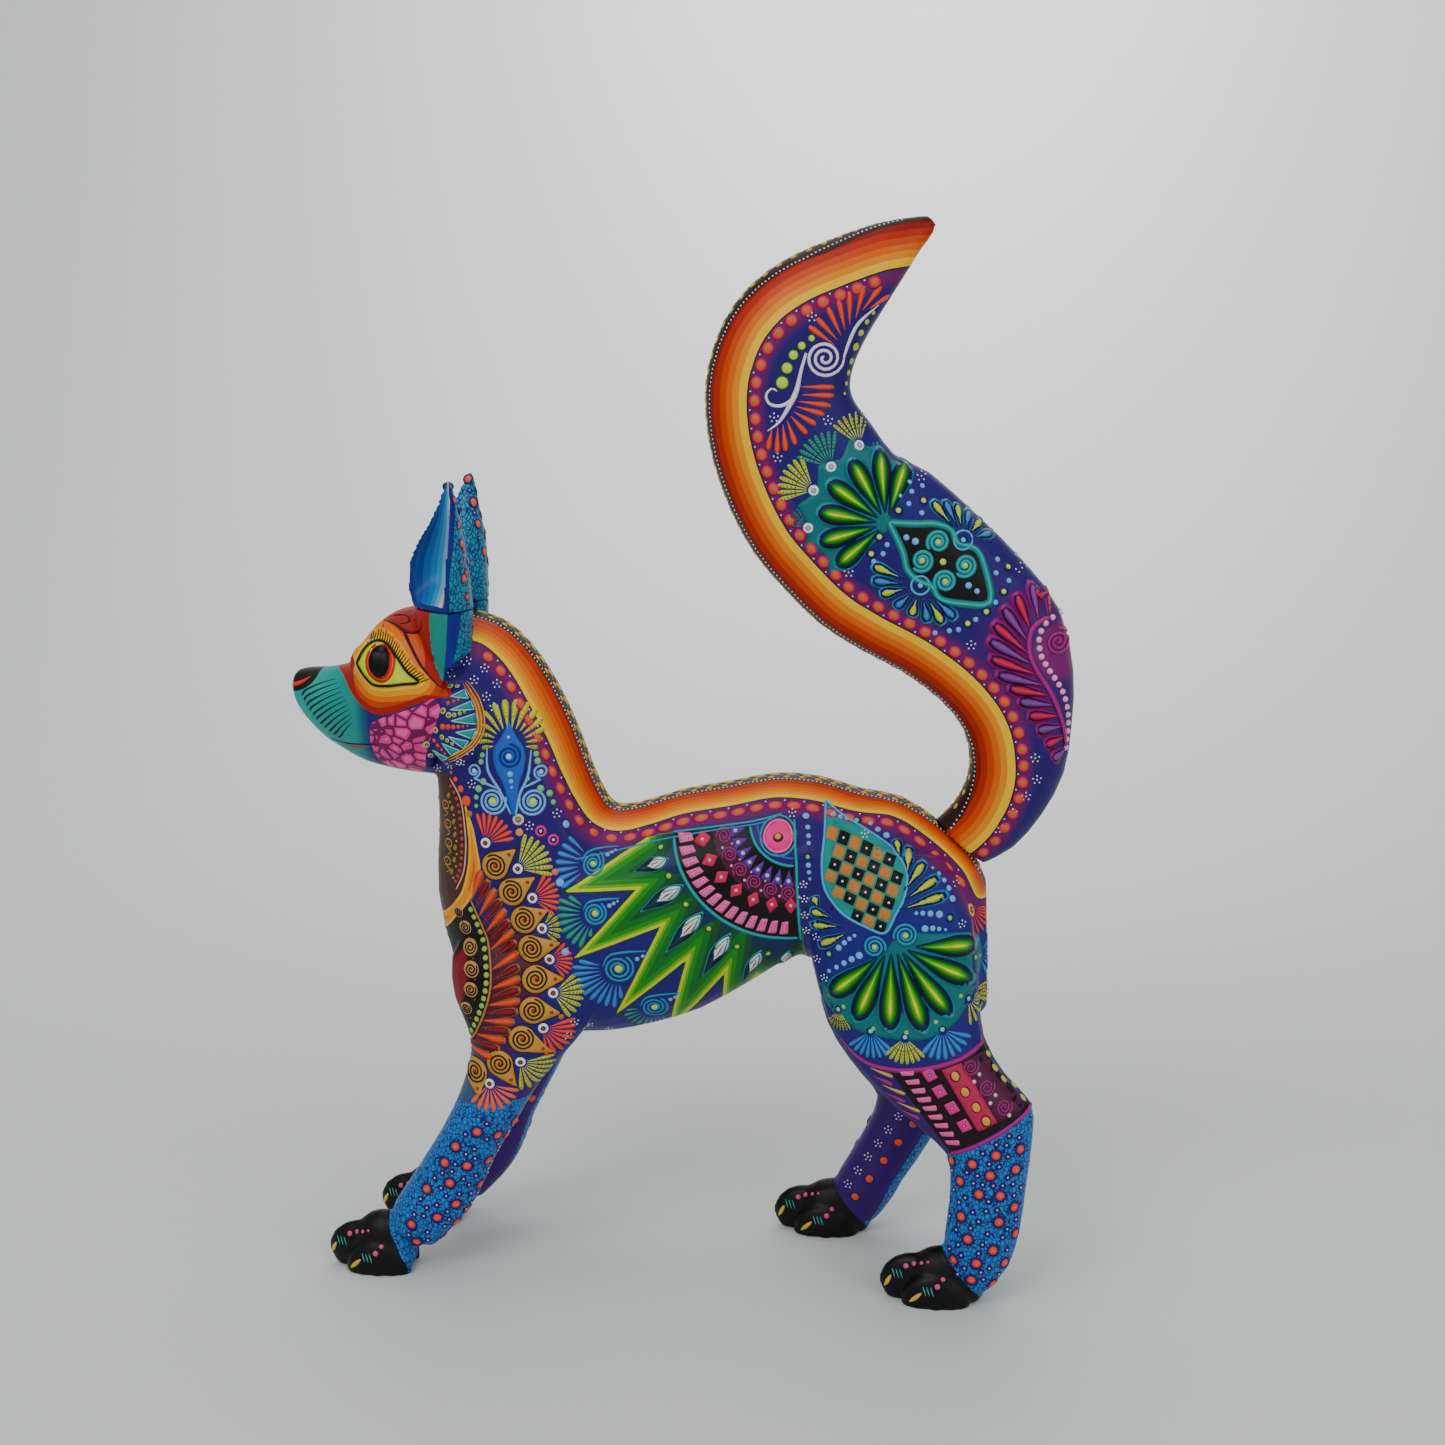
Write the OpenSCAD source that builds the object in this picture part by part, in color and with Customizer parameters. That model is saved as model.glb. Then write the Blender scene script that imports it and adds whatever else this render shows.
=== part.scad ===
// Carved wooden coyote figure: a standing animal with a raised, curling tail.
// The head, legs, ears and tail are carved apart, then set on wooden dowels.
// The legs and head are glued; the ears and the tail pull off their pegs.
// Frame: the nose points to -X, the left side to -Y, and the paws stand on z = 0.

/* [Stance] */
// Distance from the middle plane to the middle of a fore paw
fore_y = 25; // [24:1:28]
// Distance from the middle plane to the middle of a hind paw
hind_y = 31; // [30:1:35]
// How far the right hind paw stands ahead of the left one
hind_stride = 48; // [30:1:50]
// How far the right fore paw stands behind the left one
fore_stride = 9; // [4:1:14]

/* [Carving] */
// Half the width of the flat strip along the back, neck and tail
ridge_half = 6; // [4:0.5:8]
// Outward slope of the bevel beside the strip
ridge_slope = 1.05; // [0.9:0.05:1.3]
// Fullness of the flanks (2 is an ellipse, more is squarer)
fullness = 2.3; // [2:0.1:2.6]
// Number of facets round the torso
torso_facets = 36; // [32:4:44]
// Number of facets round the tail
tail_facets = 32; // [28:4:40]

/* [Joinery] */
// Distance from the middle plane to the flat glue faces of the legs
glue_y = 12; // [11:0.5:14]
// Diameter of the four leg dowels
leg_dowel_d = 8; // [6:1:8]
// Diameter of the neck dowel
head_dowel_d = 10; // [8:1:12]
// Diameter of the tail peg
tail_peg_d = 8; // [6:1:9]
// Diameter of the ear pegs
ear_peg_d = 5; // [4:0.5:5]
// Radial clearance of the pegs that pull out
peg_clearance = 0.08; // [0.04:0.01:0.1]
// Gap under the seats of the parts that pull off
seat_gap = 0.3; // [0.2:0.05:0.4]

/* [Hidden] */

purple = "#3b1d8f";
blue = "#2f7fc4";
teal = "#1f9a93";
orange = "#f07b1a";
bare_wood = "#d8b684";
big = 600;

// Sections of the body, neck first: [top [x, z], bottom [x, z], half width].
TORSO = [
    [[-85.5, 275], [-98.5, 207], 20],
    [[-72, 271.5], [-98.5, 202], 21],
    [[-60, 261.5], [-98.5, 195], 22],
    [[-50, 246.5], [-98.5, 182], 25],
    [[-42, 229.5], [-99.5, 157.5], 28],
    [[-37, 216], [-93.5, 129.5], 31],
    [[-33, 206], [-83, 109.5], 33],
    [[-28, 197], [-70, 96], 35],
    [[-22.5, 195], [-48, 99], 36],
    [[-12.5, 197], [-28, 100], 35],
    [[2.5, 202], [-9.5, 104], 33],
    [[20.5, 205.5], [10.5, 111], 31],
    [[40, 209.5], [31, 123.5], 30],
    [[58, 208.5], [51, 135.5], 30],
    [[74, 204], [63, 128.5], 31],
    [[90.5, 201], [83.5, 115], 31],
    [[106.5, 191], [101.5, 107], 29],
    [[119.5, 179], [117.5, 107], 24],
    [[125.5, 167.5], [127, 115], 15]
];

// Sections of the head, nose first: [top, bottom, half width].
HEAD = [
    [[-158, 247], [-158, 240], 5],
    [[-156, 249], [-156, 234.5], 9],
    [[-151, 250], [-152, 228.5], 11.5],
    [[-143, 250.5], [-145, 221.5], 14],
    [[-134, 253], [-137, 216.5], 17],
    [[-128.5, 261.5], [-128.5, 212], 20],
    [[-120.5, 270.5], [-118.5, 209.5], 24],
    [[-110.5, 275.5], [-108.5, 208], 27.5],
    [[-98.5, 275.5], [-102.5, 207.5], 28],
    [[-86.4, 270.5], [-98.5, 207], 26]
];

// Sections of the tail, root first: [outer edge, inner edge, half width].
TAIL = [
    [[104.5, 192], [124.5, 175], 9],
    [[111.5, 199], [136, 182], 11],
    [[116.5, 209], [147, 196], 13.5],
    [[117.5, 219], [155, 213], 16],
    [[114.5, 230.5], [157.5, 232.5], 18],
    [[105.5, 241.5], [157.5, 254], 19.5],
    [[90.5, 252.5], [151.5, 278], 20],
    [[73, 261.5], [137, 297], 20],
    [[57, 271.5], [118.5, 315], 20],
    [[43, 285], [99.5, 331.5], 19.5],
    [[31, 299], [85.5, 338.5], 19],
    [[21.5, 316], [77, 349.5], 18.5],
    [[14.5, 335.5], [70, 358.5], 18],
    [[11.5, 354.5], [68, 365.5], 17.5],
    [[12.5, 371.5], [70, 374.5], 17],
    [[18.5, 389], [75, 385], 16],
    [[29, 403], [80.5, 394], 14],
    [[43, 413], [85.5, 402], 12],
    [[59, 420], [90.5, 410], 9],
    [[76, 426], [94.5, 416.5], 6],
    [[89.5, 428.5], [98.5, 422], 3.5],
    [[97, 429], [100, 426], 1.5]
];

// Sections of the left legs, top first: [front, back, middle y, half width].
FORELEG = [
    [[-84.5, 147.5], [-34, 149.5], -19, 10],
    [[-90.5, 135.5], [-27, 135.5], -21, 15],
    [[-89.5, 119.5], [-28, 118.5], -22, 16.5],
    [[-82.5, 103], [-40, 101], -23.5, 15.5],
    [[-84.5, 88], [-53.5, 85], -24, 14],
    [[-90.5, 72], [-63.5, 68], -24.5, 13],
    [[-99.5, 55.5], [-73.5, 50.5], -25, 12],
    [[-109.5, 39.5], [-81.5, 32.5], -25, 11.5],
    [[-116.5, 28.5], [-89.5, 21.5], -25, 11.5],
    [[-118.5, 20.5], [-99.5, 11], -25, 9.5]
];
HINDLEG = [
    [[73, 188], [107, 182], -17, 9],
    [[59, 170], [118, 165.5], -19, 15.5],
    [[55, 149.5], [122.5, 147.5], -20, 17],
    [[59, 127.5], [123.5, 127.5], -21, 17],
    [[67, 107], [126, 109], -23, 16],
    [[81.5, 89], [135, 94], -25.5, 14.5],
    [[99.5, 73], [145, 84], -28, 13],
    [[111.5, 62.5], [146, 71], -29.5, 12],
    [[113.5, 48.5], [144, 50.5], -30.5, 11.5],
    [[112.5, 34.5], [142, 32.5], -31, 11],
    [[111.5, 22.5], [138, 16.5], -31, 11],
    [[113.5, 12.5], [129.5, 5], -31, 8.5]
];

// Sections of the left ear, root first:
// [height, middle of the rim [x, y], half rim width, depth of the back, depth of the hollow].
ear_seat_z = 277;
EAR_STUB = [
    [254.5, [-91.5, -19], 8, 10, -5],
    [262.5, [-93.5, -19.5], 10, 14, -6],
    [269.5, [-95.5, -20], 12, 17, -5],
    [ear_seat_z, [-96.5, -20], 13, 19, -3]
];
EAR = [
    [ear_seat_z, [-96.5, -20], 13, 19, -3],
    [283, [-97.5, -20], 14.6, 19, 6],
    [289, [-97.5, -20], 15, 18.5, 12.5],
    [297, [-96.5, -20], 14.3, 16, 12],
    [305, [-94, -20], 11.2, 12.5, 9],
    [313, [-91.5, -20], 7, 8.5, 5.5],
    [320, [-89.5, -20], 4.2, 5, 2.8],
    [325.5, [-88.5, -20], 2.2, 2.8, 1.2],
    [328.5, [-88, -20], 0.7, 1, 0.2]
];
ear_turn = 48;
ear_facets = 12;

// Paws: middle of the left paw, its three radii and the radii of a toe.
FORE_PAW = [-121.5, -fore_y, 9];
FORE_PAW_R = [14, 9.5, 15.5];
HIND_PAW = [112.5, -hind_y, 8.5];
HIND_PAW_R = [17, 9.5, 14];
TOE_R = [14, 5.3, 11.5];
toe_lead = 9.8;
toe_drop = 1;
toe_spread = 7;
toe_set_back = 9;
outer_toe_drop = 5;

// Heights between which a right leg leans to reach its own standing place.
fore_hip_z = 148;
hind_hip_z = 128;
leg_sway_z = 21;

// Dowels and pegs: a point on the axis where the two parts meet.
FORE_DOWEL = [-62, -glue_y, 119];
HIND_DOWEL = [93, -glue_y, 139.5];
leg_dowel_in = 9;
leg_dowel_out = 16;
HEAD_DOWEL = [-91.5, 0, 243.5];
head_dowel_half = 20;
TAIL_SEAT = [114.5, 0, 183.5];
tail_peg_in = 22;
tail_peg_out = 15;
EAR_PEG = [-88, -13, ear_seat_z];
ear_peg_in = 15;
ear_peg_out = 4.5;

// Cheek ruff and eyeball: middle on the left side, and radii.
RUFF = [-85, -18, 230.5];
RUFF_R = [14, 11, 18];
EYE = [-117.5, -16, 254.5];
EYE_R = [13, 9, 11];

// The slope of the neck face and of the tail seat, from the sections that end there.
neck_face = TORSO[0][0] - TORSO[0][1];
neck_tilt = atan2(neck_face[0], neck_face[1]);
tail_face = TAIL[0][1] - TAIL[0][0];
tail_tilt = atan2(-tail_face[1], tail_face[0]);

// A smooth curve through a list of numbers or points.
function bend(a, b, c, d, t) =
    0.5 * (2 * b + (c - a) * t + (2 * a - 5 * b + 4 * c - d) * t * t + (3 * b - a - 3 * c + d) * t * t * t);
function mix(s, i, t) =
    let (last = len(s) - 1)
    [for (k = [0 : len(s[i]) - 1])
        bend(s[max(i - 1, 0)][k], s[i][k], s[i + 1][k], s[min(i + 2, last)][k], t)];
function smooth(s, steps) = [
    for (i = [0 : len(s) - 2], j = [0 : steps - 1]) mix(s, i, j / steps),
    s[len(s) - 1]
];

// Half width of a section at an angle from its top edge, with the bevelled ridge if it has one.
function round_half(w, a) = w * pow(abs(sin(a)), 2 / fullness);
function ridge_width(w, a, depth) =
    min(round_half(w, a), ridge_half * min(1, w / 14) + ridge_slope * depth);
function section(top, bottom, mid_y, w, facets, ridge) = [
    for (i = [0 : facets - 1])
    let (
        a = 360 * i / facets,
        f = (1 - cos(a)) / 2,
        depth = f * norm(bottom - top),
        half = ridge ? ridge_width(w, a, depth) : round_half(w, a),
        p = top + (bottom - top) * f
    )
    [p[0], mid_y + sign(sin(a)) * half, p[1]]
];

// A closed skin over rings of points that all have the same count.
module skin(rings) {
    n = len(rings[0]);
    last = len(rings) - 1;
    sides = [
        for (r = [0 : last - 1], i = [0 : n - 1])
        let (j = (i + 1) % n)
        each [
            [r * n + i, r * n + j, (r + 1) * n + j],
            [r * n + i, (r + 1) * n + j, (r + 1) * n + i]
        ]
    ];
    first_cap = [[for (i = [n - 1 : -1 : 0]) i]];
    last_cap = [[for (i = [0 : n - 1]) last * n + i]];
    polyhedron([for (ring = rings) each ring], concat(sides, first_cap, last_cap));
}

// An egg-shaped lump.
module lump(middle, radii, facets = 16, levels = 8) {
    skin([
        for (k = [0.5 : levels - 0.5])
        let (a = 180 * k / levels - 90)
        [for (i = [0 : facets - 1])
            let (b = 360 * i / facets)
            middle + [
                radii[0] * cos(a) * sin(b),
                radii[1] * cos(a) * cos(b),
                radii[2] * sin(a)
            ]]
    ]);
}

// Mirrors its children to the right side of the figure.
module on_side(side) {
    if (side == "left") {
        children();
    } else {
        mirror([0, 1, 0]) children();
    }
}

module torso_blank() {
    skin([for (s = smooth(TORSO, 2)) section(s[0], s[1], 0, s[2], torso_facets, true)]);
}

module head_blank() {
    skin([for (s = smooth(HEAD, 3)) section(s[0], s[1], 0, s[2], 32, false)]);
}

// How far a point of a leg moves along X when the paw steps by a stride.
function sway(z, stride, hip_z) =
    stride * max(0, hip_z - max(z, leg_sway_z)) / (hip_z - leg_sway_z);
function step_to(p, stride, hip_z) = [p[0] + sway(p[1], stride, hip_z), p[1]];

module leg_blank(sections, paw, paw_r, stride, hip_z) {
    shift = [sway(0, stride, hip_z), 0, 0];
    skin([for (s = smooth(sections, 2))
        section(step_to(s[1], stride, hip_z), step_to(s[0], stride, hip_z), s[2], s[3], 22, false)]);
    lump(paw + shift, paw_r, 20, 10);
    for (k = [-1 : 1]) {
        along = toe_set_back * abs(k) + TOE_R[0] - paw_r[0] - toe_lead;
        drop = toe_drop + outer_toe_drop * abs(k);
        lump(paw + shift + [along, toe_spread * k, -drop], TOE_R, 12, 8);
    }
}

// A whole leg with its flat glue face and flat sole.
module leg(sections, paw, paw_r, stride, hip_z) {
    intersection() {
        leg_blank(sections, paw, paw_r, stride, hip_z);
        translate([-big / 2, -glue_y - big, 0]) cube(big);
    }
}

module foreleg(side) {
    on_side(side) leg(FORELEG, FORE_PAW, FORE_PAW_R, side == "left" ? 0 : fore_stride, fore_hip_z);
}

module hindleg(side) {
    on_side(side) leg(HINDLEG, HIND_PAW, HIND_PAW_R, side == "left" ? 0 : -hind_stride, hind_hip_z);
}

// A dowel across the glue face of a leg.
module leg_dowel(place, side) {
    on_side(side)
        translate(place + [0, leg_dowel_in, 0])
            rotate([90, 0, 0]) cylinder(h = leg_dowel_in + leg_dowel_out, d = leg_dowel_d, $fn = 32);
}

// Places its children on the neck face, with Z pointing out of the neck.
module at_neck() {
    translate(HEAD_DOWEL) rotate([0, neck_tilt - 90, 0]) children();
}

module neck_dowel() {
    at_neck() translate([0, 0, -head_dowel_half])
        cylinder(h = 2 * head_dowel_half, d = head_dowel_d, $fn = 36);
}

// Places its children on the tail seat, with Z pointing out of the rump.
module at_tail() {
    translate(TAIL_SEAT) rotate([0, tail_tilt, 0]) children();
}

module peg_of_tail(extra = 0) {
    at_tail() translate([0, 0, -tail_peg_in - extra])
        cylinder(h = tail_peg_in + tail_peg_out + extra, d = tail_peg_d + 2 * extra, $fn = 36);
}

module peg_of_ear(side, extra = 0) {
    on_side(side) translate(EAR_PEG - [0, 0, ear_peg_in + extra])
        cylinder(h = ear_peg_in + ear_peg_out + extra, d = ear_peg_d + 2 * extra, $fn = 32);
}

// One level of an ear: round the back, then along the hollow front.
function ear_ring(s, lift) =
    let (
        along = [-cos(ear_turn), sin(ear_turn)],
        rear = [sin(ear_turn), cos(ear_turn)],
        lip = 0.82
    )
    [for (i = [0 : 2 * ear_facets - 1])
        let (
            a = i <= ear_facets ? 180 * i / ear_facets : 180 * (2 * ear_facets - i - 0.5) / (ear_facets - 0.5),
            width = i <= ear_facets ? s[2] : s[2] * lip,
            depth = i <= ear_facets ? s[3] : s[4],
            p = s[1] + along * width * cos(a) + rear * depth * sin(a)
        )
        [p[0], p[1], s[0] + lift]];

module ear_stub(side) {
    on_side(side) skin([for (s = smooth(EAR_STUB, 2)) ear_ring(s, 0)]);
}

module torso() {
    color(purple)
        difference() {
            torso_blank();
            for (side = ["left", "right"]) {
                foreleg(side);
                hindleg(side);
                ear_stub(side);
                on_side(side) lump(RUFF, RUFF_R);
                leg_dowel(FORE_DOWEL, side);
                leg_dowel(HIND_DOWEL, side);
            }
            neck_dowel();
            at_tail() translate([-30, -30, 0]) cube([60, 60, 40]);
            peg_of_tail(peg_clearance);
        }
}

module head() {
    color(teal)
        difference() {
            union() {
                head_blank();
                for (side = ["left", "right"]) {
                    ear_stub(side);
                    on_side(side) lump(EYE, EYE_R);
                    on_side(side) lump(RUFF, RUFF_R);
                }
            }
            neck_dowel();
            for (side = ["left", "right"]) {
                peg_of_ear(side, peg_clearance);
            }
        }
}

module head_dowel() {
    color(bare_wood) neck_dowel();
}

module foreleg_with_hole(side) {
    color(blue)
        difference() {
            foreleg(side);
            leg_dowel(FORE_DOWEL, side);
        }
}

module hindleg_with_hole(side) {
    color(blue)
        difference() {
            hindleg(side);
            leg_dowel(HIND_DOWEL, side);
        }
}

module loose_dowel(place, side) {
    color(bare_wood) leg_dowel(place, side);
}

module ear(side) {
    color(blue)
        difference() {
            on_side(side) skin([for (s = smooth(EAR, 2)) ear_ring(s, seat_gap)]);
            peg_of_ear(side);
        }
}

module ear_peg(side) {
    color(bare_wood) peg_of_ear(side);
}

module tail() {
    color(orange)
        difference() {
            at_tail() translate([0, 0, seat_gap]) rotate([0, -tail_tilt, 0]) translate(-TAIL_SEAT)
                skin([for (s = smooth(TAIL, 2)) section(s[0], s[1], 0, s[2], tail_facets, true)]);
            peg_of_tail();
        }
}

module tail_peg() {
    color(bare_wood) peg_of_tail();
}

torso();
head();
head_dowel();
foreleg_with_hole("left");  // foreleg_left
foreleg_with_hole("right");  // foreleg_right
hindleg_with_hole("left");  // hindleg_left
hindleg_with_hole("right");  // hindleg_right
loose_dowel(FORE_DOWEL, "left");  // foreleg_left_dowel
loose_dowel(FORE_DOWEL, "right");  // foreleg_right_dowel
loose_dowel(HIND_DOWEL, "left");  // hindleg_left_dowel
loose_dowel(HIND_DOWEL, "right");  // hindleg_right_dowel
ear("left");  // ear_left
ear("right");  // ear_right
ear_peg("left");  // ear_left_peg
ear_peg("right");  // ear_right_peg
tail();
tail_peg();
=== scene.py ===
import math

import bmesh
import bpy
import numpy as np
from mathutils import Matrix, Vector
from mathutils.bvhtree import BVHTree
from mathutils.geometry import delaunay_2d_cdt


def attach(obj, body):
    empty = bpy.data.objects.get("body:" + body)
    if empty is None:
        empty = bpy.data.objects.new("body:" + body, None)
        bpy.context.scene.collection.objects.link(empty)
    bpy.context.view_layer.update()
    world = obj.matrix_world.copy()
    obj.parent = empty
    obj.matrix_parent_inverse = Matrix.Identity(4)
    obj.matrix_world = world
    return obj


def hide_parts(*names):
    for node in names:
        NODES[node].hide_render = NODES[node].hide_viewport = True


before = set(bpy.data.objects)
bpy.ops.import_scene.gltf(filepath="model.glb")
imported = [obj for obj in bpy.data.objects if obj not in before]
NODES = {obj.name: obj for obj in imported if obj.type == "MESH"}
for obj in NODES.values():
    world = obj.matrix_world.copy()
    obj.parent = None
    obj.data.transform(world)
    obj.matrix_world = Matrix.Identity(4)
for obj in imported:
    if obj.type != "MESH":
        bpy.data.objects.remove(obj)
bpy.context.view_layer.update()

MM = 0.001

# ---------------------------------------------------------------- skins
VOXEL = 1.0
EAR_VOXEL = 0.7
SMOOTH_STEPS = 14
EAR_SMOOTH_STEPS = 6
BORDER_ROUNDS = 8
SMALLEST_ISLAND = 600
SPREAD_STEPS = 60
CARVED = ["torso", "head", "foreleg_left", "foreleg_right", "hindleg_left", "hindleg_right"]


def node_mesh_arrays(names):
    """All vertices (mm) and triangles of some CAD nodes."""
    verts, faces, base = [], [], 0
    for name in names:
        mesh = NODES[name].data
        mesh.calc_loop_triangles()
        v = np.empty(len(mesh.vertices) * 3)
        mesh.vertices.foreach_get("co", v)
        t = np.empty(len(mesh.loop_triangles) * 3, dtype=np.int64)
        mesh.loop_triangles.foreach_get("vertices", t)
        verts.append(v.reshape(-1, 3))
        faces.append(t.reshape(-1, 3) + base)
        base += len(verts[-1])
    return np.concatenate(verts), np.concatenate(faces)


def remeshed(names, voxel):
    """The union of some CAD nodes as one even quad mesh."""
    verts, faces = node_mesh_arrays(names)
    mesh = bpy.data.meshes.new("skin")
    mesh.from_pydata(verts.tolist(), [], faces.tolist())
    obj = bpy.data.objects.new("skin", mesh)
    bpy.context.scene.collection.objects.link(obj)
    remesh = obj.modifiers.new("remesh", "REMESH")
    remesh.mode = "VOXEL"
    remesh.voxel_size = voxel * MM
    graph = bpy.context.evaluated_depsgraph_get()
    out = bpy.data.meshes.new_from_object(obj.evaluated_get(graph))
    bpy.data.objects.remove(obj)
    bpy.data.meshes.remove(mesh)
    return out


def mesh_points(mesh):
    v = np.empty(len(mesh.vertices) * 3)
    mesh.vertices.foreach_get("co", v)
    return v.reshape(-1, 3)


def smoothed(mesh, steps):
    """Relaxes the mesh without shrinking it: alternate inward and outward steps."""
    v = mesh_points(mesh)
    e = np.empty(len(mesh.edges) * 2, dtype=np.int64)
    mesh.edges.foreach_get("vertices", e)
    e = e.reshape(-1, 2)
    count = np.bincount(e.ravel(), minlength=len(v))[:, None].astype(float)
    count[count == 0] = 1
    for _ in range(steps):
        for push in (0.6, -0.62):
            total = np.zeros_like(v)
            for k in range(3):
                total[:, k] = np.bincount(e[:, 0], v[e[:, 1], k], len(v)) + np.bincount(
                    e[:, 1], v[e[:, 0], k], len(v)
                )
            v += push * (total / count - v)
    mesh.vertices.foreach_set("co", v.ravel())
    mesh.update()
    return mesh


def face_neighbours(mesh):
    """Pairs of faces that share an edge."""
    edge_of = np.empty(len(mesh.loops), dtype=np.int64)
    mesh.loops.foreach_get("edge_index", edge_of)
    start = np.empty(len(mesh.polygons), dtype=np.int64)
    total = np.empty(len(mesh.polygons), dtype=np.int64)
    mesh.polygons.foreach_get("loop_start", start)
    mesh.polygons.foreach_get("loop_total", total)
    face_of = np.repeat(np.arange(len(start)), total)
    order = np.argsort(edge_of, kind="stable")
    e, f = edge_of[order], face_of[order]
    same = e[1:] == e[:-1]
    return np.stack([f[:-1][same], f[1:][same]], axis=1)


def nearest_node(mesh, names):
    """The index in names of the CAD node that each face lies on."""
    centres = np.empty(len(mesh.polygons) * 3)
    mesh.polygons.foreach_get("center", centres)
    centres = centres.reshape(-1, 3)
    best = np.full(len(centres), 1e9)
    label = np.zeros(len(centres), dtype=np.int64)
    for k, name in enumerate(names):
        verts, faces = node_mesh_arrays([name])
        tree = BVHTree.FromPolygons(verts.tolist(), faces.tolist())
        near = np.all((centres > verts.min(0) - 0.002) & (centres < verts.max(0) + 0.002), axis=1)
        for i in np.nonzero(near)[0]:
            away = tree.find_nearest(Vector(centres[i]))[3]
            if away < best[i]:
                best[i] = away
                label[i] = k
    return label


def settled(label, pairs, rounds, smallest):
    """Straightens the borders between labels and gives small islands to their surroundings."""
    kinds = label.max() + 1
    for _ in range(rounds):
        votes = np.zeros((len(label), kinds))
        votes[np.arange(len(label)), label] = 1.2
        for a, b in ((0, 1), (1, 0)):
            np.add.at(votes, (pairs[:, a], label[pairs[:, b]]), 1)
        label = votes.argmax(1)
    group = np.arange(len(label))
    same = pairs[label[pairs[:, 0]] == label[pairs[:, 1]]]
    while True:
        low = np.minimum(group[same[:, 0]], group[same[:, 1]])
        new = group.copy()
        np.minimum.at(new, same[:, 0], low)
        np.minimum.at(new, same[:, 1], low)
        new = new[new]
        if np.array_equal(new, group):
            break
        group = new
    size = np.bincount(group, minlength=len(label))[group]
    for _ in range(SPREAD_STEPS):
        a, b = pairs[:, 0], pairs[:, 1]
        for p, q in ((a, b), (b, a)):
            take = (size[p] < smallest) & (size[q] >= smallest)
            label[p[take]] = label[q[take]]
            size[p[take]] = smallest
    return label


def piece_from_faces(mesh, chosen, normals, name):
    """A closed piece made of some faces of a skin, shaded as the whole skin is."""
    polys = [tuple(mesh.polygons[i].vertices) for i in chosen]
    used = np.unique(np.concatenate([np.array(p) for p in polys]))
    index = {int(v): k for k, v in enumerate(used)}
    verts = mesh_points(mesh)[used]
    part = bpy.data.meshes.new(name)
    part.from_pydata(verts.tolist(), [], [tuple(index[v] for v in p) for p in polys])
    work = bmesh.new()
    work.from_mesh(part)
    rim = [e for e in work.edges if len(e.link_faces) == 1]
    if rim:
        caps = bmesh.ops.holes_fill(work, edges=rim, sides=0)["faces"]
        bmesh.ops.triangulate(work, faces=caps)
    work.to_mesh(part)
    work.free()
    part.polygons.foreach_set("use_smooth", [True] * len(part.polygons))
    part.normals_split_custom_set_from_vertices(normals[used].tolist())
    obj = bpy.data.objects.new(name, part)
    bpy.context.scene.collection.objects.link(obj)
    return obj


def vertex_normals(mesh):
    n = np.empty(len(mesh.vertices) * 3)
    mesh.vertices.foreach_get("normal", n)
    return n.reshape(-1, 3)


def tree_in_mm(mesh):
    verts = (mesh_points(mesh) / MM).tolist()
    return BVHTree.FromPolygons(verts, [tuple(p.vertices) for p in mesh.polygons])


def skin_of(names, voxel, steps):
    return smoothed(remeshed(names, voxel), steps)


def split_skin(mesh, names):
    """One closed painted piece for each CAD node under the fused skin."""
    pairs = face_neighbours(mesh)
    label = settled(nearest_node(mesh, names), pairs, BORDER_ROUNDS, SMALLEST_ISLAND)
    normals = vertex_normals(mesh)
    made = {}
    for k, name in enumerate(names):
        made[name] = piece_from_faces(mesh, np.nonzero(label == k)[0], normals, name + "_wood")
    return made


body_skin = skin_of(CARVED, VOXEL, SMOOTH_STEPS)
tail_skin = skin_of(["tail"], VOXEL, SMOOTH_STEPS)
ear_skins = {side: skin_of(["ear_" + side], EAR_VOXEL, EAR_SMOOTH_STEPS) for side in ("left", "right")}


# ---------------------------------------------------------------- curves and distances
def smooth_line(points, steps=6):
    """A Catmull-Rom curve through points."""
    p = [np.array(q, float) for q in points]
    out = []
    for i in range(len(p) - 1):
        a, b, c, d = p[max(i - 1, 0)], p[i], p[i + 1], p[min(i + 2, len(p) - 1)]
        for k in range(steps):
            t = k / steps
            out.append(
                0.5 * (2 * b + (c - a) * t + (2 * a - 5 * b + 4 * c - d) * t**2
                       + (3 * b - a - 3 * c + d) * t**3)
            )
    out.append(p[-1])
    return np.array(out)


def line_distance(at, line, closed=False):
    """Distance from each point to a chain of segments, and how far along it that is."""
    line = np.array(line, float)
    ends = np.roll(line, -1, axis=0) if closed else line[1:]
    starts = line if closed else line[:-1]
    best = np.full(len(at), 1e9)
    along = np.zeros(len(at))
    run = 0.0
    for a, b in zip(starts, ends):
        ab = b - a
        size = max(float(ab @ ab), 1e-12)
        t = np.clip(((at - a) @ ab) / size, 0, 1)
        away = np.linalg.norm(at - a - t[:, None] * ab, axis=1)
        near = away < best
        best[near] = away[near]
        along[near] = (run + t * math.sqrt(size))[near]
        run += math.sqrt(size)
    return best, along


def shape_distance(at, outline):
    """Distance to an outline, negative inside it."""
    away, _ = line_distance(at, outline, closed=True)
    outline = np.array(outline, float)
    inside = np.zeros(len(at), bool)
    for a, b in zip(outline, np.roll(outline, -1, axis=0)):
        crosses = (a[1] > at[:, 1]) != (b[1] > at[:, 1])
        with np.errstate(divide="ignore", invalid="ignore"):
            x = a[0] + (at[:, 1] - a[1]) * (b[0] - a[0]) / (b[1] - a[1])
        inside ^= crosses & (at[:, 0] < x)
    return np.where(inside, -away, away)


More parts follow.
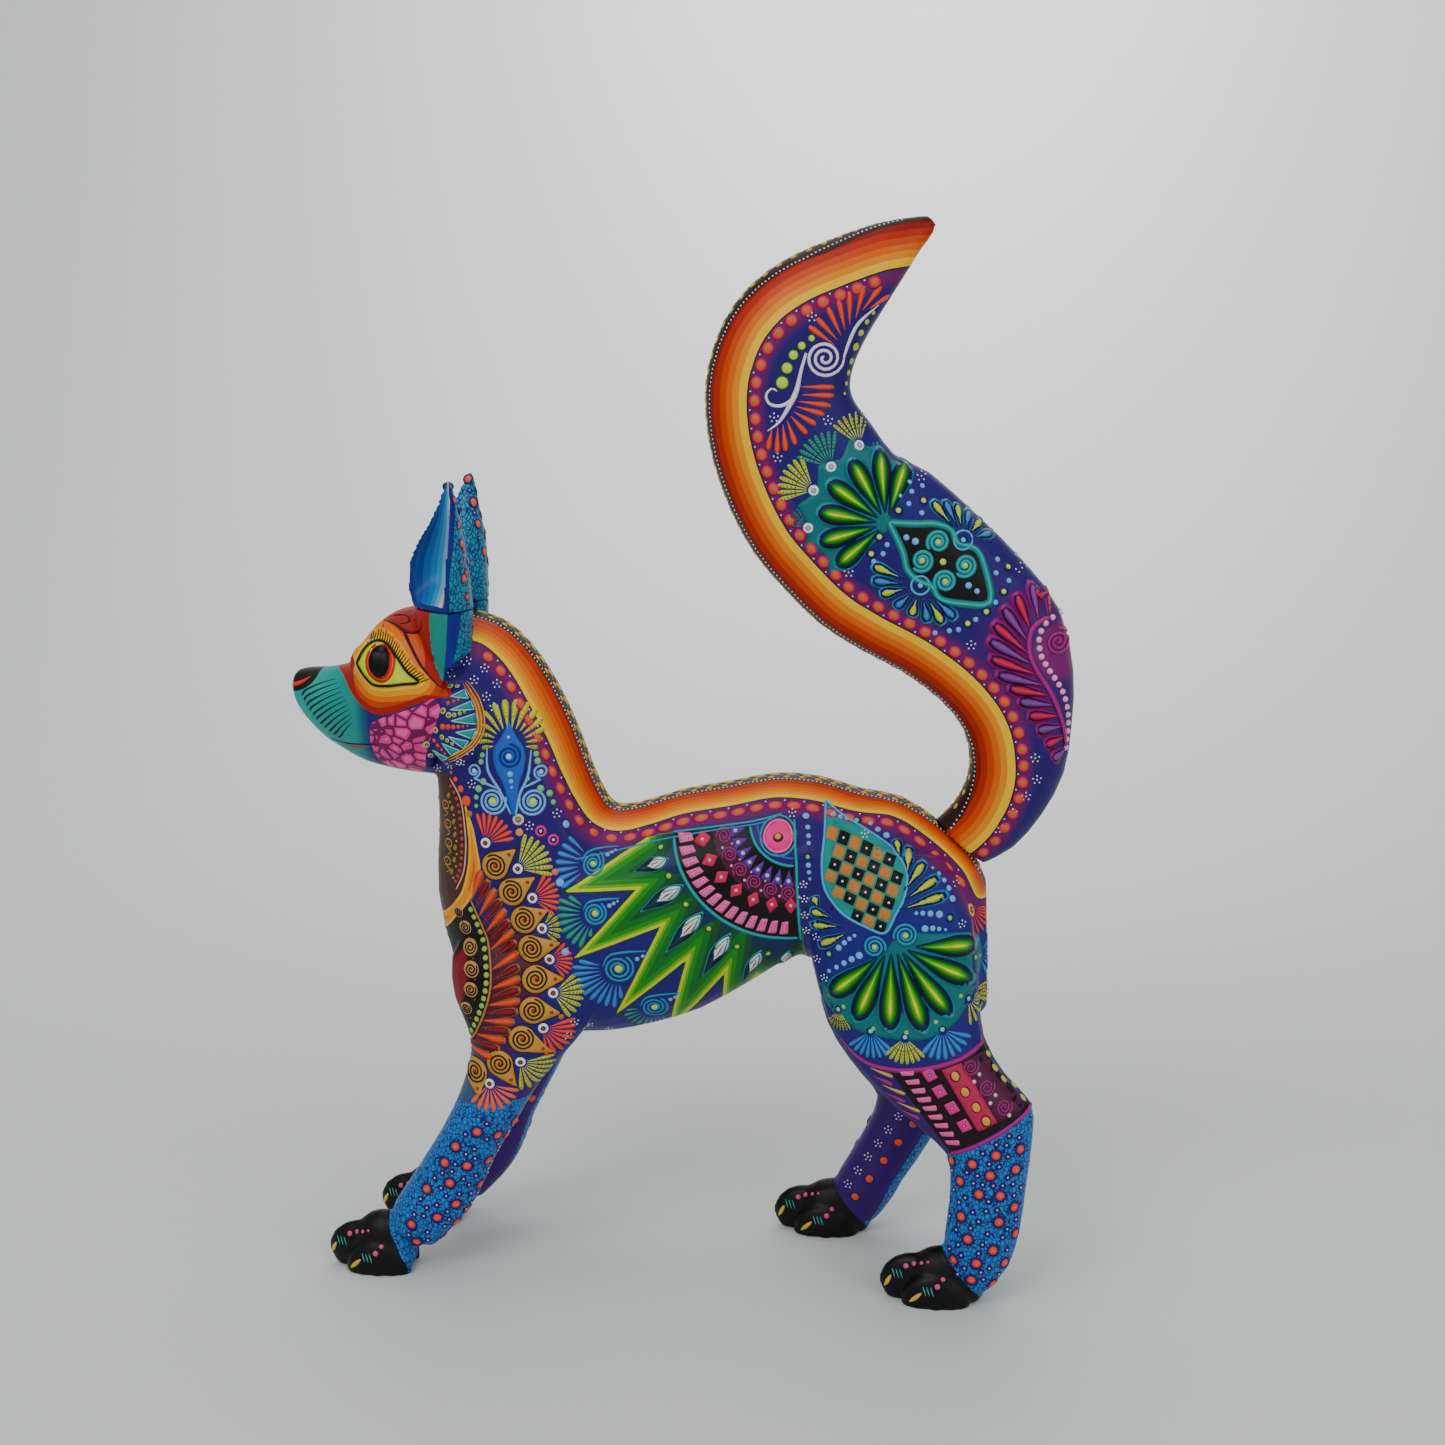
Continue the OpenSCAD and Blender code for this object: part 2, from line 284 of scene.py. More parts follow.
def resampled(points, spacing):
    """Even points along a chain, a given distance apart."""
    p = np.array(points, float)
    gaps = np.linalg.norm(np.diff(p, axis=0), axis=1)
    reach = np.concatenate([[0], np.cumsum(gaps)])
    count = max(2, int(round(reach[-1] / spacing)) + 1)
    at = np.linspace(0, reach[-1], count)
    return np.stack([np.interp(at, reach, p[:, k]) for k in range(2)], axis=1)


def offset_line(line, away):
    """A chain moved sideways, to the right of its direction."""
    line = np.array(line, float)
    run = np.gradient(line, axis=0)
    run /= np.linalg.norm(run, axis=1)[:, None]
    return line + np.stack([run[:, 1], -run[:, 0]], axis=1) * away


def eased(value, low, high):
    t = np.clip((value - low) / (high - low), 0, 1)
    return t * t * (3 - 2 * t)


def linear(code):
    """A hex colour as linear light."""
    parts = [int(code[i : i + 2], 16) / 255 for i in (0, 2, 4)]
    return tuple(c / 12.92 if c <= 0.04045 else ((c + 0.055) / 1.055) ** 2.4 for c in parts)


# ---------------------------------------------------------------- side-view lines, in mm (x, z)
BACK_LINE = smooth_line([
    (-85.5, 275), (-72, 271.5), (-60, 261.5), (-50, 246.5), (-42, 229.5), (-37, 216), (-33, 206),
    (-28, 197), (-22.5, 195), (-12.5, 197), (2.5, 202), (20.5, 205.5), (40, 209.5), (58, 208.5),
    (74, 204), (90.5, 201), (106.5, 191), (119.5, 179), (125.5, 168.5),
])
TAIL_LINE = smooth_line([
    (104.5, 192), (111.5, 199), (116.5, 209), (117.5, 219), (114.5, 230.5), (105.5, 241.5),
    (90.5, 252.5), (73, 261.5), (57, 271.5), (43, 285), (31, 299), (21.5, 316), (14.5, 335.5),
    (11.5, 354.5), (12.5, 371.5), (18.5, 389), (29, 403), (43, 413), (59, 420), (76, 426),
    (89.5, 428.5), (97, 429),
])
STRIP_HALF = 6.3
STRIP_DEPTH = 5.0
TAIL_STRIP_HALF = 8.4
TAIL_BAND = 18.4

# How far the right legs lean from the left ones, as in the frame.
SWAY_HEIGHT = 21.0
HIND_STRIDE = -48.0
HIND_HIP = 128.0
FORE_STRIDE = 9.0
FORE_HIP = 148.0


def lean(z, stride, hip):
    return stride * (hip - np.clip(z, SWAY_HEIGHT, hip)) / (hip - SWAY_HEIGHT)


def leg_lean(x, z):
    """How far a point of the left legs' drawing moves along X on the right legs."""
    return np.where(x > 0, lean(z, HIND_STRIDE, HIND_HIP), lean(z, FORE_STRIDE, FORE_HIP))


# ---------------------------------------------------------------- colours
VIOLET = "220C66"
INDIGO = "1C126E"
DEEP_BLUE = "15207A"
PURPLE = "44106A"
PLUM = "700E5A"
SHANK_BLUE = "1D74C4"
TEAL = "0E8E84"
WINE = "4C1022"
BLACK = "060607"
STRIP_BROWN = "1C140C"
BACK_BANDS = [
    (0.0, "962004"), (0.15, "B83402"), (0.30, "CE4C00"), (0.45, "DC6600"),
    (0.58, "E68000"), (0.70, "EE9A00"), (0.81, "F6C000"), (0.96, "160A16"),
]
TAIL_BANDS = [
    (0.0, "680602"), (0.12, "8C1002"), (0.24, "B02402"), (0.38, "CA4000"),
    (0.52, "DC6200"), (0.66, "E88600"), (0.80, "F6BE00"), (0.97, "160A16"),
]
ZIGZAG_BANDS = [
    (0.0, "0E3A16"), (0.02, "BCCC08"), (0.085, "62A610"), (0.135, "1E8412"),
    (0.22, "0A6C1E"), (0.34, "064C24"), (0.48, "063A36"), (0.60, "0E2652"),
]
EYE_BANDS = [
    (0.0, "F4BC00"), (0.10, "EA9400"), (0.21, "DC6A00"), (0.32, "C03A04"),
]
FAN_BANDS = [(0.0, "26106A"), (0.36, "050506"), (0.53, "440A2C"), (0.67, "050506")]
LEAF_BANDS = [(0.0, "0E8A84"), (0.15, "168070")]
LENS_BANDS = [(0.0, "060607"), (0.50, "5A0A14"), (0.55, "7E1022")]
EAR_BANDS = [
    (0.0, "08307E"), (0.14, "0A4898"), (0.30, "0E60AC"), (0.45, "187ABA"), (0.58, "3292C4"),
    (0.70, "6EB4D0"),
    (0.82, "BAD4D4"), (0.97, "C43418"),
]
PANEL_BROWN = "42261A"
CRESCENT_BANDS = [
    (0.0, "EEB008"), (0.05, "E88A06"), (0.11, "D65C06"), (0.18, "B43806"), (0.26, "8C1C06"),
]


# ---------------------------------------------------------------- fields over the skins
def put(mesh, name, values):
    layer = mesh.attributes.new(name, "FLOAT", "POINT")
    layer.data.foreach_set("value", np.asarray(values, dtype=np.float32))


def put_colour(mesh, name, values):
    layer = mesh.attributes.new(name, "FLOAT_COLOR", "POINT")
    full = np.ones((len(values), 4), dtype=np.float32)
    full[:, :3] = values
    layer.data.foreach_set("color", full.ravel())


def mixed(base, weight, code):
    """Blends a colour into per-vertex colours by a per-vertex weight."""
    return base + (np.array(linear(code)) - base) * np.clip(weight, 0, 1)[:, None]


def spot(x, z, at, inner, outer):
    """1 near a place in the side view, falling to 0 at the outer radius."""
    return 1 - eased(np.hypot(x - at[0], z - at[1]), inner, outer)


ZIGZAG = [
    (-11, 186.7), (-44, 166), (-14, 168), (-39.5, 139), (-4, 153), (-24, 112), (6, 138), (-5, 98),
    (21, 131), (17, 104), (34, 127), (40, 118), (54, 134),
]
ZIGZAG_TOP = [(52, 160), (46, 190), (20, 192), (0, 189)]
FAN_CENTRE = (48.7, 196.7)
FAN_TURN = (189, 274)
FAN_REACH = 48.5
THIGH_LEAF = smooth_line([
    (60.9, 202), (66, 198.3), (71.5, 195), (81, 190.2), (89.3, 184.9), (93, 180.2), (94.2, 175.4),
    (93, 168.3), (89.9, 162.4), (86, 155), (78.6, 157.1), (70.3, 160.7), (65, 165.4), (61.5, 171.9),
    (60.6, 181.4), (61.2, 190.8), (60.9, 202),
], 3)
KNEE_BAND = [(88, 100), (104, 101), (118, 105), (132, 113), (155, 106), (155, 92), (148, 86), (113, 65.5)]
CRESCENT = smooth_line([
    (-83.5, 201), (-79.5, 191), (-77.7, 183), (-76.3, 173), (-79.9, 163), (-86.5, 154), (-97, 143),
    (-114, 134), (-114, 148), (-97, 151), (-86.4, 161.5), (-82.6, 171.8), (-81.4, 181.6), (-82, 190),
    (-83.5, 201),
], 4)
CHEST_PANEL = smooth_line([
    (-89, 210), (-84, 201.4), (-82, 190), (-81.4, 181.6), (-82.6, 171.8), (-86.4, 161.5), (-97, 151),
    (-118, 150), (-120, 185), (-118, 212), (-89, 210),
], 4)
CHEST_LENS = smooth_line([
    (-80.6, 160.5), (-76.3, 151.5), (-73, 143), (-71.4, 134), (-71.6, 126), (-74, 117), (-78.5, 107),
    (-86, 98), (-112, 88), (-122, 110), (-114, 134), (-97, 143), (-86.5, 154), (-80.6, 160.5),
], 4)
HIND_PAW_LINE = [(80, -5), (80, 22), (102, 26), (109, 25), (126, 4), (128, -5)]
FORE_PAW_LINE = [(-160, -5), (-160, 30), (-123, 32), (-119.5, 28), (-117, 17), (-110, 4), (-109, -5)]
FIELD_SCALE = 20.0


def fan_point(share, turn):
    """A point of the quarter fan, by its share of the reach and its angle in degrees."""
    a = math.radians(turn)
    return FAN_CENTRE[0] + FAN_REACH * share * math.cos(a), FAN_CENTRE[1] + FAN_REACH * share * math.sin(a)


def band_width(along):
    """Width of the graded band beside the back, by the distance from the nape."""
    return np.interp(along, [0, 50, 80, 100, 118, 195, 228], [9.5, 10.2, 9.0, 7.8, 7.0, 6.8, 5.4])


def mitred_distance(at, chain):
    """Distance to a chain of segments that keeps the corners of its parallels sharp."""
    chain = np.array(chain, float)
    starts, ends = chain[:-1], chain[1:]
    best = np.full(len(at), 1e9)
    nearest = np.zeros(len(at), int)
    share = np.zeros(len(at))
    across = []
    for k, (a, b) in enumerate(zip(starts, ends)):
        ab = b - a
        t = np.clip(((at - a) @ ab) / (ab @ ab), 0, 1)
        away = np.linalg.norm(at - a - t[:, None] * ab, axis=1)
        across.append(np.abs((at[:, 0] - a[0]) * ab[1] - (at[:, 1] - a[1]) * ab[0]) / np.linalg.norm(ab))
        near = away < best - 1e-9
        best[near], nearest[near], share[near] = away[near], k, t[near]
    for k in range(len(starts)):
        for end, other in ((0, k - 1), (1, k + 1)):
            if 0 <= other < len(starts):
                corner = (nearest == k) & (share == end)
                best[corner] = np.maximum(across[k], across[other])[corner]
    return best


def body_fields(mesh, right_leg):
    """Every field that the body's material reads."""
    v = mesh_points(mesh) / MM
    x, y, z = v[:, 0].copy(), v[:, 1], v[:, 2]
    if right_leg:
        x -= leg_lean(x, z)
    at = np.stack([x, z], axis=1)
    away, along = line_distance(v[:, [0, 2]], BACK_LINE)
    width = band_width(along)
    upper = z > 150
    put(mesh, "ridge", np.where(upper, away / width, 9.0))
    put(mesh, "strip", np.where(upper, np.maximum(np.abs(y) - STRIP_HALF, away - STRIP_DEPTH), 9.0))
    inside = shape_distance(at, ZIGZAG + ZIGZAG_TOP) < 0
    chevrons = mitred_distance(at, ZIGZAG)
    put(mesh, "zigzag", np.where(inside, -chevrons, np.minimum(chevrons, 9)))
    fan = np.hypot(x - FAN_CENTRE[0], z - FAN_CENTRE[1])
    turn = np.degrees(np.arctan2(z - FAN_CENTRE[1], x - FAN_CENTRE[0])) % 360
    put(mesh, "fan", np.where((turn > FAN_TURN[0]) & (turn < FAN_TURN[1]), fan / FAN_REACH, 2.0))
    put(mesh, "leaf", shape_distance(at, THIGH_LEAF))
    put(mesh, "crescent", shape_distance(at, CRESCENT))
    put(mesh, "panel", shape_distance(at, CHEST_PANEL))
    put(mesh, "lens", shape_distance(at, CHEST_LENS))
    hind = x > 20
    knee = np.where(hind, shape_distance(at, KNEE_BAND), 9.0)
    put(mesh, "knee", knee)
    shin_top = np.where(hind, 0.58 * (x - 114) + 65, 77.5 + 0.1 * (x + 80))
    inner = np.where(hind, 27.5 - np.abs(y) + (120 - x) * 0.35, 21 - np.abs(y) - (x + 90) * 0.1)
    put(mesh, "shank", np.maximum(z - shin_top, inner))
    put(mesh, "paw", np.minimum(shape_distance(at, HIND_PAW_LINE), shape_distance(at, FORE_PAW_LINE)))
    colour = np.tile(np.array(linear(VIOLET)), (len(v), 1))
    colour = mixed(colour, spot(x, z, (-20, 120), 25, 70), INDIGO)
    colour = mixed(colour, 0.8 * spot(x, z, (95, 140), 20, 55), DEEP_BLUE)
    colour = mixed(colour, 0.9 * spot(x, z, (-68, 135), 12, 24), WINE)
    colour = mixed(colour, 0.8 * spot(x, z, (-80, 110), 10, 26), WINE)
    colour = mixed(colour, 0.95 * spot(x, z, (-91, 86), 10, 22), "0C6A88")
    near_band = np.where(upper, 1 - np.abs(away - width - 2.4) / 4.5, 0)
    colour = mixed(colour, near_band, PLUM)
    colour = mixed(colour, eased(105 - z, 0, 30) * 0.5, PURPLE)
    put_colour(mesh, "paint", colour)


# The face, as outlines in the side view.
NOSE = smooth_line([
    (-165, 256), (-146, 254), (-146, 249.5), (-148, 245.5), (-151.5, 243), (-156, 241.5), (-165, 240),
], 3)
RED_MASK = smooth_line([
    (-142, 252), (-134.5, 249), (-129.5, 243.5), (-124.5, 238.5), (-118, 235.5), (-109.5, 237),
    (-101.5, 240.5), (-94, 243), (-87, 243.5), (-90.5, 249.5), (-93.5, 256), (-94.5, 264),
    (-95, 272), (-98, 284), (-125, 290), (-142, 264), (-142, 252),
], 4)
EYE_ZONE = smooth_line([
    (-126.5, 256), (-128.5, 250), (-127.5, 245), (-124, 241), (-118.5, 238.5), (-112, 239.5),
    (-104, 242), (-97, 244.5), (-88.5, 243.8), (-94, 250), (-98.5, 256), (-102.5, 262),
    (-106, 267), (-110, 270.5), (-117, 272), (-130, 280), (-135, 270), (-126.5, 256),
], 4)
EYE = smooth_line([
    (-125.5, 256), (-122, 262.3), (-117.5, 264.6), (-112.5, 262.8), (-108, 258), (-104, 253.2),
    (-99.5, 249.6), (-106, 248.7), (-113, 247.6), (-118.5, 247.6), (-121.5, 250), (-125.5, 256),
], 4)
BROW_PATCH = smooth_line([
    (-106, 268.5), (-101.5, 268), (-98.5, 264), (-97.5, 255), (-100, 257.5), (-103, 263), (-106, 268.5),
], 3)
TEMPLE = smooth_line([
    (-97, 288), (-96, 277), (-94.5, 270), (-94, 262), (-92.5, 254), (-89.5, 248), (-88.5, 258),
    (-87.5, 268), (-86.5, 278), (-86, 288), (-97, 288),
], 3)
NAVY_STRIPE = smooth_line([
    (-87, 290), (-87, 276), (-88, 266), (-89.5, 256), (-90.5, 248), (-86.5, 256), (-84.5, 264),
    (-83, 274), (-82, 290), (-87, 290),
], 3)
CHEEK = smooth_line([
    (-121, 231.5), (-114, 235), (-106, 238), (-98, 241), (-94, 243), (-91.5, 239), (-93.5, 232),
    (-98, 222), (-101, 212), (-106, 207), (-118, 212), (-122, 222), (-121, 231.5),
], 3)
IRIS = (-115.6, 256.6)


def face_fields(mesh):
    """Every field that the head's material reads."""
    v = mesh_points(mesh) / MM
    x, z = v[:, 0], v[:, 2]
    at = v[:, [0, 2]]
    for name, outline in (
        ("nose", NOSE), ("mask", RED_MASK), ("zone", EYE_ZONE), ("eye", EYE), ("brow", BROW_PATCH),
        ("temple", TEMPLE), ("navy", NAVY_STRIPE),
    ):
        put(mesh, name, shape_distance(at, outline))
    put(mesh, "back", np.where(x > -97, 259 + 0.6 * (x + 83) - z, 9.0))
    colour = np.tile(np.array(linear(VIOLET)), (len(v), 1))
    colour = mixed(colour, eased(-116 - x, 0, 8), INDIGO)
    colour = mixed(colour, eased(-121 - x, 0, 9), TEAL)
    colour = mixed(colour, 0.4 * eased(-132 - x, 0, 20), "16B0A4")
    put(mesh, "cheek", shape_distance(at, CHEEK))
    put_colour(mesh, "paint", colour)


BLACK_LEAF = smooth_line([
    (84.5, 314), (94, 313.3), (102, 313.3), (108.3, 311), (111, 306), (118, 303.6), (121.5, 297),
    (124, 283.5), (113, 283), (104.5, 284.8), (101.6, 289.6), (96.5, 291.5), (91.8, 296), (90, 303),
    (84.5, 314),
], 3)


def tail_fields(mesh):
    """Every field that the tail's material reads."""
    v = mesh_points(mesh) / MM
    x, y, z = v[:, 0], v[:, 1], v[:, 2]
    away, along = line_distance(v[:, [0, 2]], TAIL_LINE)
    put(mesh, "ridge", away / TAIL_BAND)
    depth = np.interp(along.max() - along, [0, 50], [1.0, STRIP_DEPTH])
    put(mesh, "strip", np.maximum(np.abs(y) - TAIL_STRIP_HALF, away - depth))
    put(mesh, "leaf", shape_distance(v[:, [0, 2]], BLACK_LEAF))
    colour = np.tile(np.array(linear(VIOLET)), (len(v), 1))
    colour = mixed(colour, 0.8 * spot(x, z, (75, 325), 18, 36), INDIGO)
    colour = mixed(colour, 0.7 * spot(x, z, (148, 262), 16, 40), PURPLE)
    colour = mixed(colour, 0.9 * spot(x, z, (152.5, 264), 9, 13), "7A0A66")
    colour = mixed(colour, 1 - np.abs(away - TAIL_BAND - 2.6) / 5, PLUM)
    put_colour(mesh, "paint", colour)


EAR_MIDDLE = [(277, -96.5), (283, -97.5), (290, -97.5), (297, -96.5), (305, -94), (313, -91.5),
    (321, -89.3), (329, -88)]
EAR_Y = 20.0
EAR_FRONT = [(277, -105.5), (290, -107.5), (297, -106), (305, -101.5), (313, -96.2), (321, -92),
    (329, -88.7)]
EAR_RIM = [(277, -88.4), (290, -88.0), (305, -86.6), (313, -86.8), (329, -87.3)]


def at_height(pairs, z):
    heights, values = zip(*pairs)
    return np.interp(z, heights, values)


def ear_fields(mesh, side):
    """Every field that an ear's material reads: which way it faces, and how far across it a point is."""
    v = mesh_points(mesh) / MM
    x, z = v[:, 0], v[:, 2]
    normals = vertex_normals(mesh)
    out = v[:, :2] - np.stack([at_height(EAR_MIDDLE, z), np.full(len(v), side * EAR_Y)], axis=1)
    front, rim = at_height(EAR_FRONT, z), at_height(EAR_RIM, z)
    put(mesh, "facing", np.sum(out * normals[:, :2], axis=1) / np.maximum(np.linalg.norm(out, axis=1), 1))
    put(mesh, "across", (x - front) / (rim - front))
    put(mesh, "rim", np.where(v[:, 1] * side > EAR_Y, x - rim - 2.2, 9.0))


# ---------------------------------------------------------------- materials
class Finish:
    """A painted surface: flat layers of colour, one over the other, under a satin varnish."""

    def __init__(self, name, roughness=0.4, varnish=0.04):
        self.material = bpy.data.materials.new(name)
        self.material.use_nodes = True
        self.tree = self.material.node_tree
        self.tree.nodes.clear()
        self.out = self.node("ShaderNodeOutputMaterial")
        self.shader = self.node("ShaderNodeBsdfPrincipled")
        self.link(self.shader.outputs[0], self.out.inputs[0])
        self.shader.inputs["Roughness"].default_value = roughness
        self.shader.inputs["Coat Weight"].default_value = varnish
        self.shader.inputs["Coat Roughness"].default_value = 0.2
        self.shader.inputs["Specular IOR Level"].default_value = 0.2
        self.place = self.node("ShaderNodeTexCoord").outputs["Object"]

    def node(self, kind, **settings):
        made = self.tree.nodes.new(kind)
        for key, value in settings.items():
            setattr(made, key, value)
        return made

    def link(self, a, b):
        self.tree.links.new(a, b)

    def maths(self, operation, a, b=0.0, c=0.0):
        made = self.node("ShaderNodeMath", operation=operation)
        for socket, value in zip(made.inputs, (a, b, c)):
            if isinstance(value, (int, float)):
                socket.default_value = value
            else:
                self.link(value, socket)
        return made.outputs[0]

    def noise(self, scale, detail=2.0, stretch=(1, 1, 1)):
        spread = self.node("ShaderNodeMapping")
        spread.inputs["Scale"].default_value = stretch
        self.link(self.place, spread.inputs["Vector"])
        made = self.node("ShaderNodeTexNoise")
        made.inputs["Scale"].default_value = scale
        made.inputs["Detail"].default_value = detail
        self.link(spread.outputs[0], made.inputs["Vector"])
        return made.outputs[0]

    def field(self, name, wobble=0.35):
        """A field of the mesh, its borders a little unsteady as a brush leaves them."""
        read = self.node("ShaderNodeAttribute", attribute_name=name)
        if not wobble:
            return read.outputs["Fac"]
        shake = self.maths("MULTIPLY_ADD", self.noise(160), wobble, -wobble / 2)
        return self.maths("ADD", read.outputs["Fac"], shake)

    def paint(self, name="paint"):
        return self.node("ShaderNodeAttribute", attribute_name=name).outputs["Color"]

    def bands(self, value, stops, hard=True):
        made = self.node("ShaderNodeValToRGB")
        ramp = made.color_ramp
        ramp.interpolation = "CONSTANT" if hard else "LINEAR"
        while len(ramp.elements) < len(stops):
            ramp.elements.new(1.0)
        for element, (at, code) in zip(ramp.elements, stops):
            element.position = at
            element.color = (*linear(code), 1)
        self.link(value, made.inputs[0])
        return made.outputs[0]

    def over(self, below, above, mask):
        """Colour above where mask is 1, below elsewhere. Above may be a hex colour."""
        made = self.node("ShaderNodeMix", data_type="RGBA")
        if isinstance(mask, float):
            made.inputs[0].default_value = mask
        else:
            self.link(mask, made.inputs[0])
        self.link(below, made.inputs[6])
        if isinstance(above, str):
            made.inputs[7].default_value = (*linear(above), 1)
        else:
            self.link(above, made.inputs[7])
        return made.outputs[2]

    def inside(self, name, limit=0.0, wobble=0.35):
        return self.maths("LESS_THAN", self.field(name, wobble), limit)

    def both(self, a, b):
        return self.maths("MULTIPLY", a, b)

    def cells(self, scale, stretch=(1, 1, 1), wander=1.0):
        """Voronoi cells: the distance to the nearest border, and to the middle."""
        spread = self.node("ShaderNodeMapping")
        spread.inputs["Scale"].default_value = stretch
        self.link(self.place, spread.inputs["Vector"])
        made = []
        for feature in ("DISTANCE_TO_EDGE", "F1"):
            cell = self.node("ShaderNodeTexVoronoi", feature=feature)
            cell.inputs["Scale"].default_value = scale
            cell.inputs["Randomness"].default_value = wander
            self.link(spread.outputs[0], cell.inputs["Vector"])
            made.append(cell.outputs["Distance"])
        return made

    def stipple(self, ground, dark, light):
        """A fine net of short dabs of a ground colour on a darker one, some dabs lighter."""
        border, middle = self.cells(620, (1, 1, 0.7))
        base = self.node("ShaderNodeRGB")
        base.outputs[0].default_value = (*linear(dark), 1)
        dabs = self.over(base.outputs[0], ground, self.maths("GREATER_THAN", border, 0.075))
        return self.over(dabs, light, self.maths("LESS_THAN", middle, 0.17))

    def cobbles(self, edge, stone, light):
        """Large rounded cells with dark borders."""
        border, _ = self.cells(185, (1, 0.7, 1.15), 0.85)
        base = self.node("ShaderNodeRGB")
        base.outputs[0].default_value = (*linear(edge), 1)
        stones = self.over(base.outputs[0], stone, self.maths("GREATER_THAN", border, 0.085))
        return self.over(stones, light, self.maths("GREATER_THAN", border, 0.24))

    def finish(self, colour, streak=0.10, relief=0.00012):
        """Adds brush streaks, uneven gloss and a faint carved relief, and sets the colour."""
        strokes = self.noise(260, 3.0, (1, 1, 0.3))
        shade = self.maths("MULTIPLY_ADD", strokes, 2 * streak, 1 - streak)
        tone = self.node("ShaderNodeHueSaturation")
        self.link(shade, tone.inputs["Value"])
        self.link(colour, tone.inputs["Color"])
        self.link(tone.outputs[0], self.shader.inputs["Base Color"])
        gloss = self.maths("MULTIPLY_ADD", self.noise(90), 0.2, 0.36)
        self.link(gloss, self.shader.inputs["Roughness"])
        height = self.maths("ADD", self.noise(900, 3.0), self.maths("MULTIPLY", self.noise(45, 1.0), 3.0))
        bump = self.node("ShaderNodeBump")
        bump.inputs["Strength"].default_value = 0.35
        bump.inputs["Distance"].default_value = relief
        self.link(height, bump.inputs["Height"])
        self.link(bump.outputs[0], self.shader.inputs["Normal"])
        return self.material


def scaled(finish, name, wobble=0.35, flip=False):
    """A distance field as a share of the span that the band ramps use."""
    return finish.maths("MULTIPLY", finish.field(name, wobble),
        -1 / FIELD_SCALE if flip else 1 / FIELD_SCALE)


def add_ridge(finish, colour, bands, strip_code):
    """The graded band beside the strip, and the dark strip itself."""
    band = finish.bands(finish.field("ridge", 0.018), bands)
    colour = finish.over(colour, band, finish.inside("ridge", 1.0, 0.018))
    return finish.over(colour, strip_code, finish.inside("strip", 0.0, 0.5))


def body_finish():
    f = Finish("painted_body_skin")
    colour = f.paint()
    zigzag = f.bands(scaled(f, "zigzag", 0.3, flip=True), ZIGZAG_BANDS)
    colour = f.over(colour, zigzag, f.inside("zigzag", 0.0, 0.3))
    colour = f.over(colour, f.bands(f.field("fan", 0.01), FAN_BANDS), f.inside("fan", 1.0, 0.01))
    leaf = f.bands(scaled(f, "leaf", 0.3, flip=True), LEAF_BANDS)
    colour = f.over(colour, leaf, f.inside("leaf", 0.0, 0.3))
    colour = f.over(colour, PANEL_BROWN, f.inside("panel"))
    crescent = f.bands(scaled(f, "crescent", 0.3, flip=True), CRESCENT_BANDS)
    colour = f.over(colour, crescent, f.inside("crescent"))
    lens = f.bands(scaled(f, "lens", 0.6, flip=True), LENS_BANDS)
    colour = f.over(colour, lens, f.inside("lens"))
    colour = f.over(colour, "1A0712", f.inside("knee"))
    stipple = f.stipple(SHANK_BLUE, "0A2468", "2E90D8")
    colour = f.over(colour, stipple, f.inside("shank", 0.0, 0.8))
    colour = f.over(colour, BLACK, f.inside("paw", 0.0, 0.6))
    colour = add_ridge(f, colour, BACK_BANDS, STRIP_BROWN)
    return f.finish(colour)


def head_finish():
    f = Finish("painted_head_skin")
    colour = f.paint()
    stipple = f.stipple("1C86A6", "0A2460", "2CA8B8")
    colour = f.over(colour, stipple, f.inside("back", 0.0, 1.2))
    colour = f.over(colour, f.cobbles("6A0A4E", "DC3288", "EC5AA2"), f.inside("cheek", 0.0, 0.8))
    colour = f.over(colour, "0C8478", f.inside("temple"))
    colour = f.over(colour, "0C1E84", f.inside("navy"))
    colour = f.over(colour, "9E160A", f.inside("mask"))
    colour = f.over(colour, f.bands(scaled(f, "eye", 0.3), EYE_BANDS), f.inside("zone"))
    colour = f.over(colour, "CC4C0A", f.inside("brow"))
    colour = f.over(colour, "C8DC10", f.inside("eye", 0.0, 0.0))
    colour = f.over(colour, BLACK, f.inside("nose"))
    return f.finish(colour)


def tail_finish():
    f = Finish("painted_tail_skin")
    colour = f.over(f.paint(), BLACK, f.inside("leaf"))
    colour = add_ridge(f, colour, TAIL_BANDS, "2A1208")
    return f.finish(colour)


def ear_finish():
    f = Finish("painted_ear_skin")
    colour = f.stipple("1C86A6", "0A2460", "2CA8B8")
    inner = f.bands(f.field("across", 0.05), EAR_BANDS)
    colour = f.over(colour, "0A1C7C", f.inside("rim", 0.0, 0.3))
    colour = f.over(colour, "0A1C7C", f.inside("facing", 0.45, 0.1))
    colour = f.over(colour, inner, f.inside("facing", -0.05, 0.1))
    return f.finish(colour)


def wood_finish():
    """Bare sanded wood with long grain."""
    f = Finish("bare_sanded_wood", 0.6, 0.0)
    grain = f.noise(120, 4.0, (6, 6, 0.6))
    colour = f.bands(grain, [(0.3, "B98B54"), (0.5, "D3AB74"), (0.7, "E0C08E")], hard=False)
    return f.finish(colour, 0.05)


# ---------------------------------------------------------------- painted marks
FAR = 400.0
CLUB = (0.12, 0.26, 0.42, 0.58, 0.74, 0.9, 1.0, 0.96, 0.6)
SINK = 0.25
# Below the belly a side view may only meet the leg on its own side.
BELLY = 112.0
LEG_MIDDLE = 30.0
BODY_MIDDLE = 14.0
LAYER = 0.14
DOT_LOW = [(1.0, -0.3), (1.0, 0.05), (0.72, 0.72), (0.0, 1.0)]


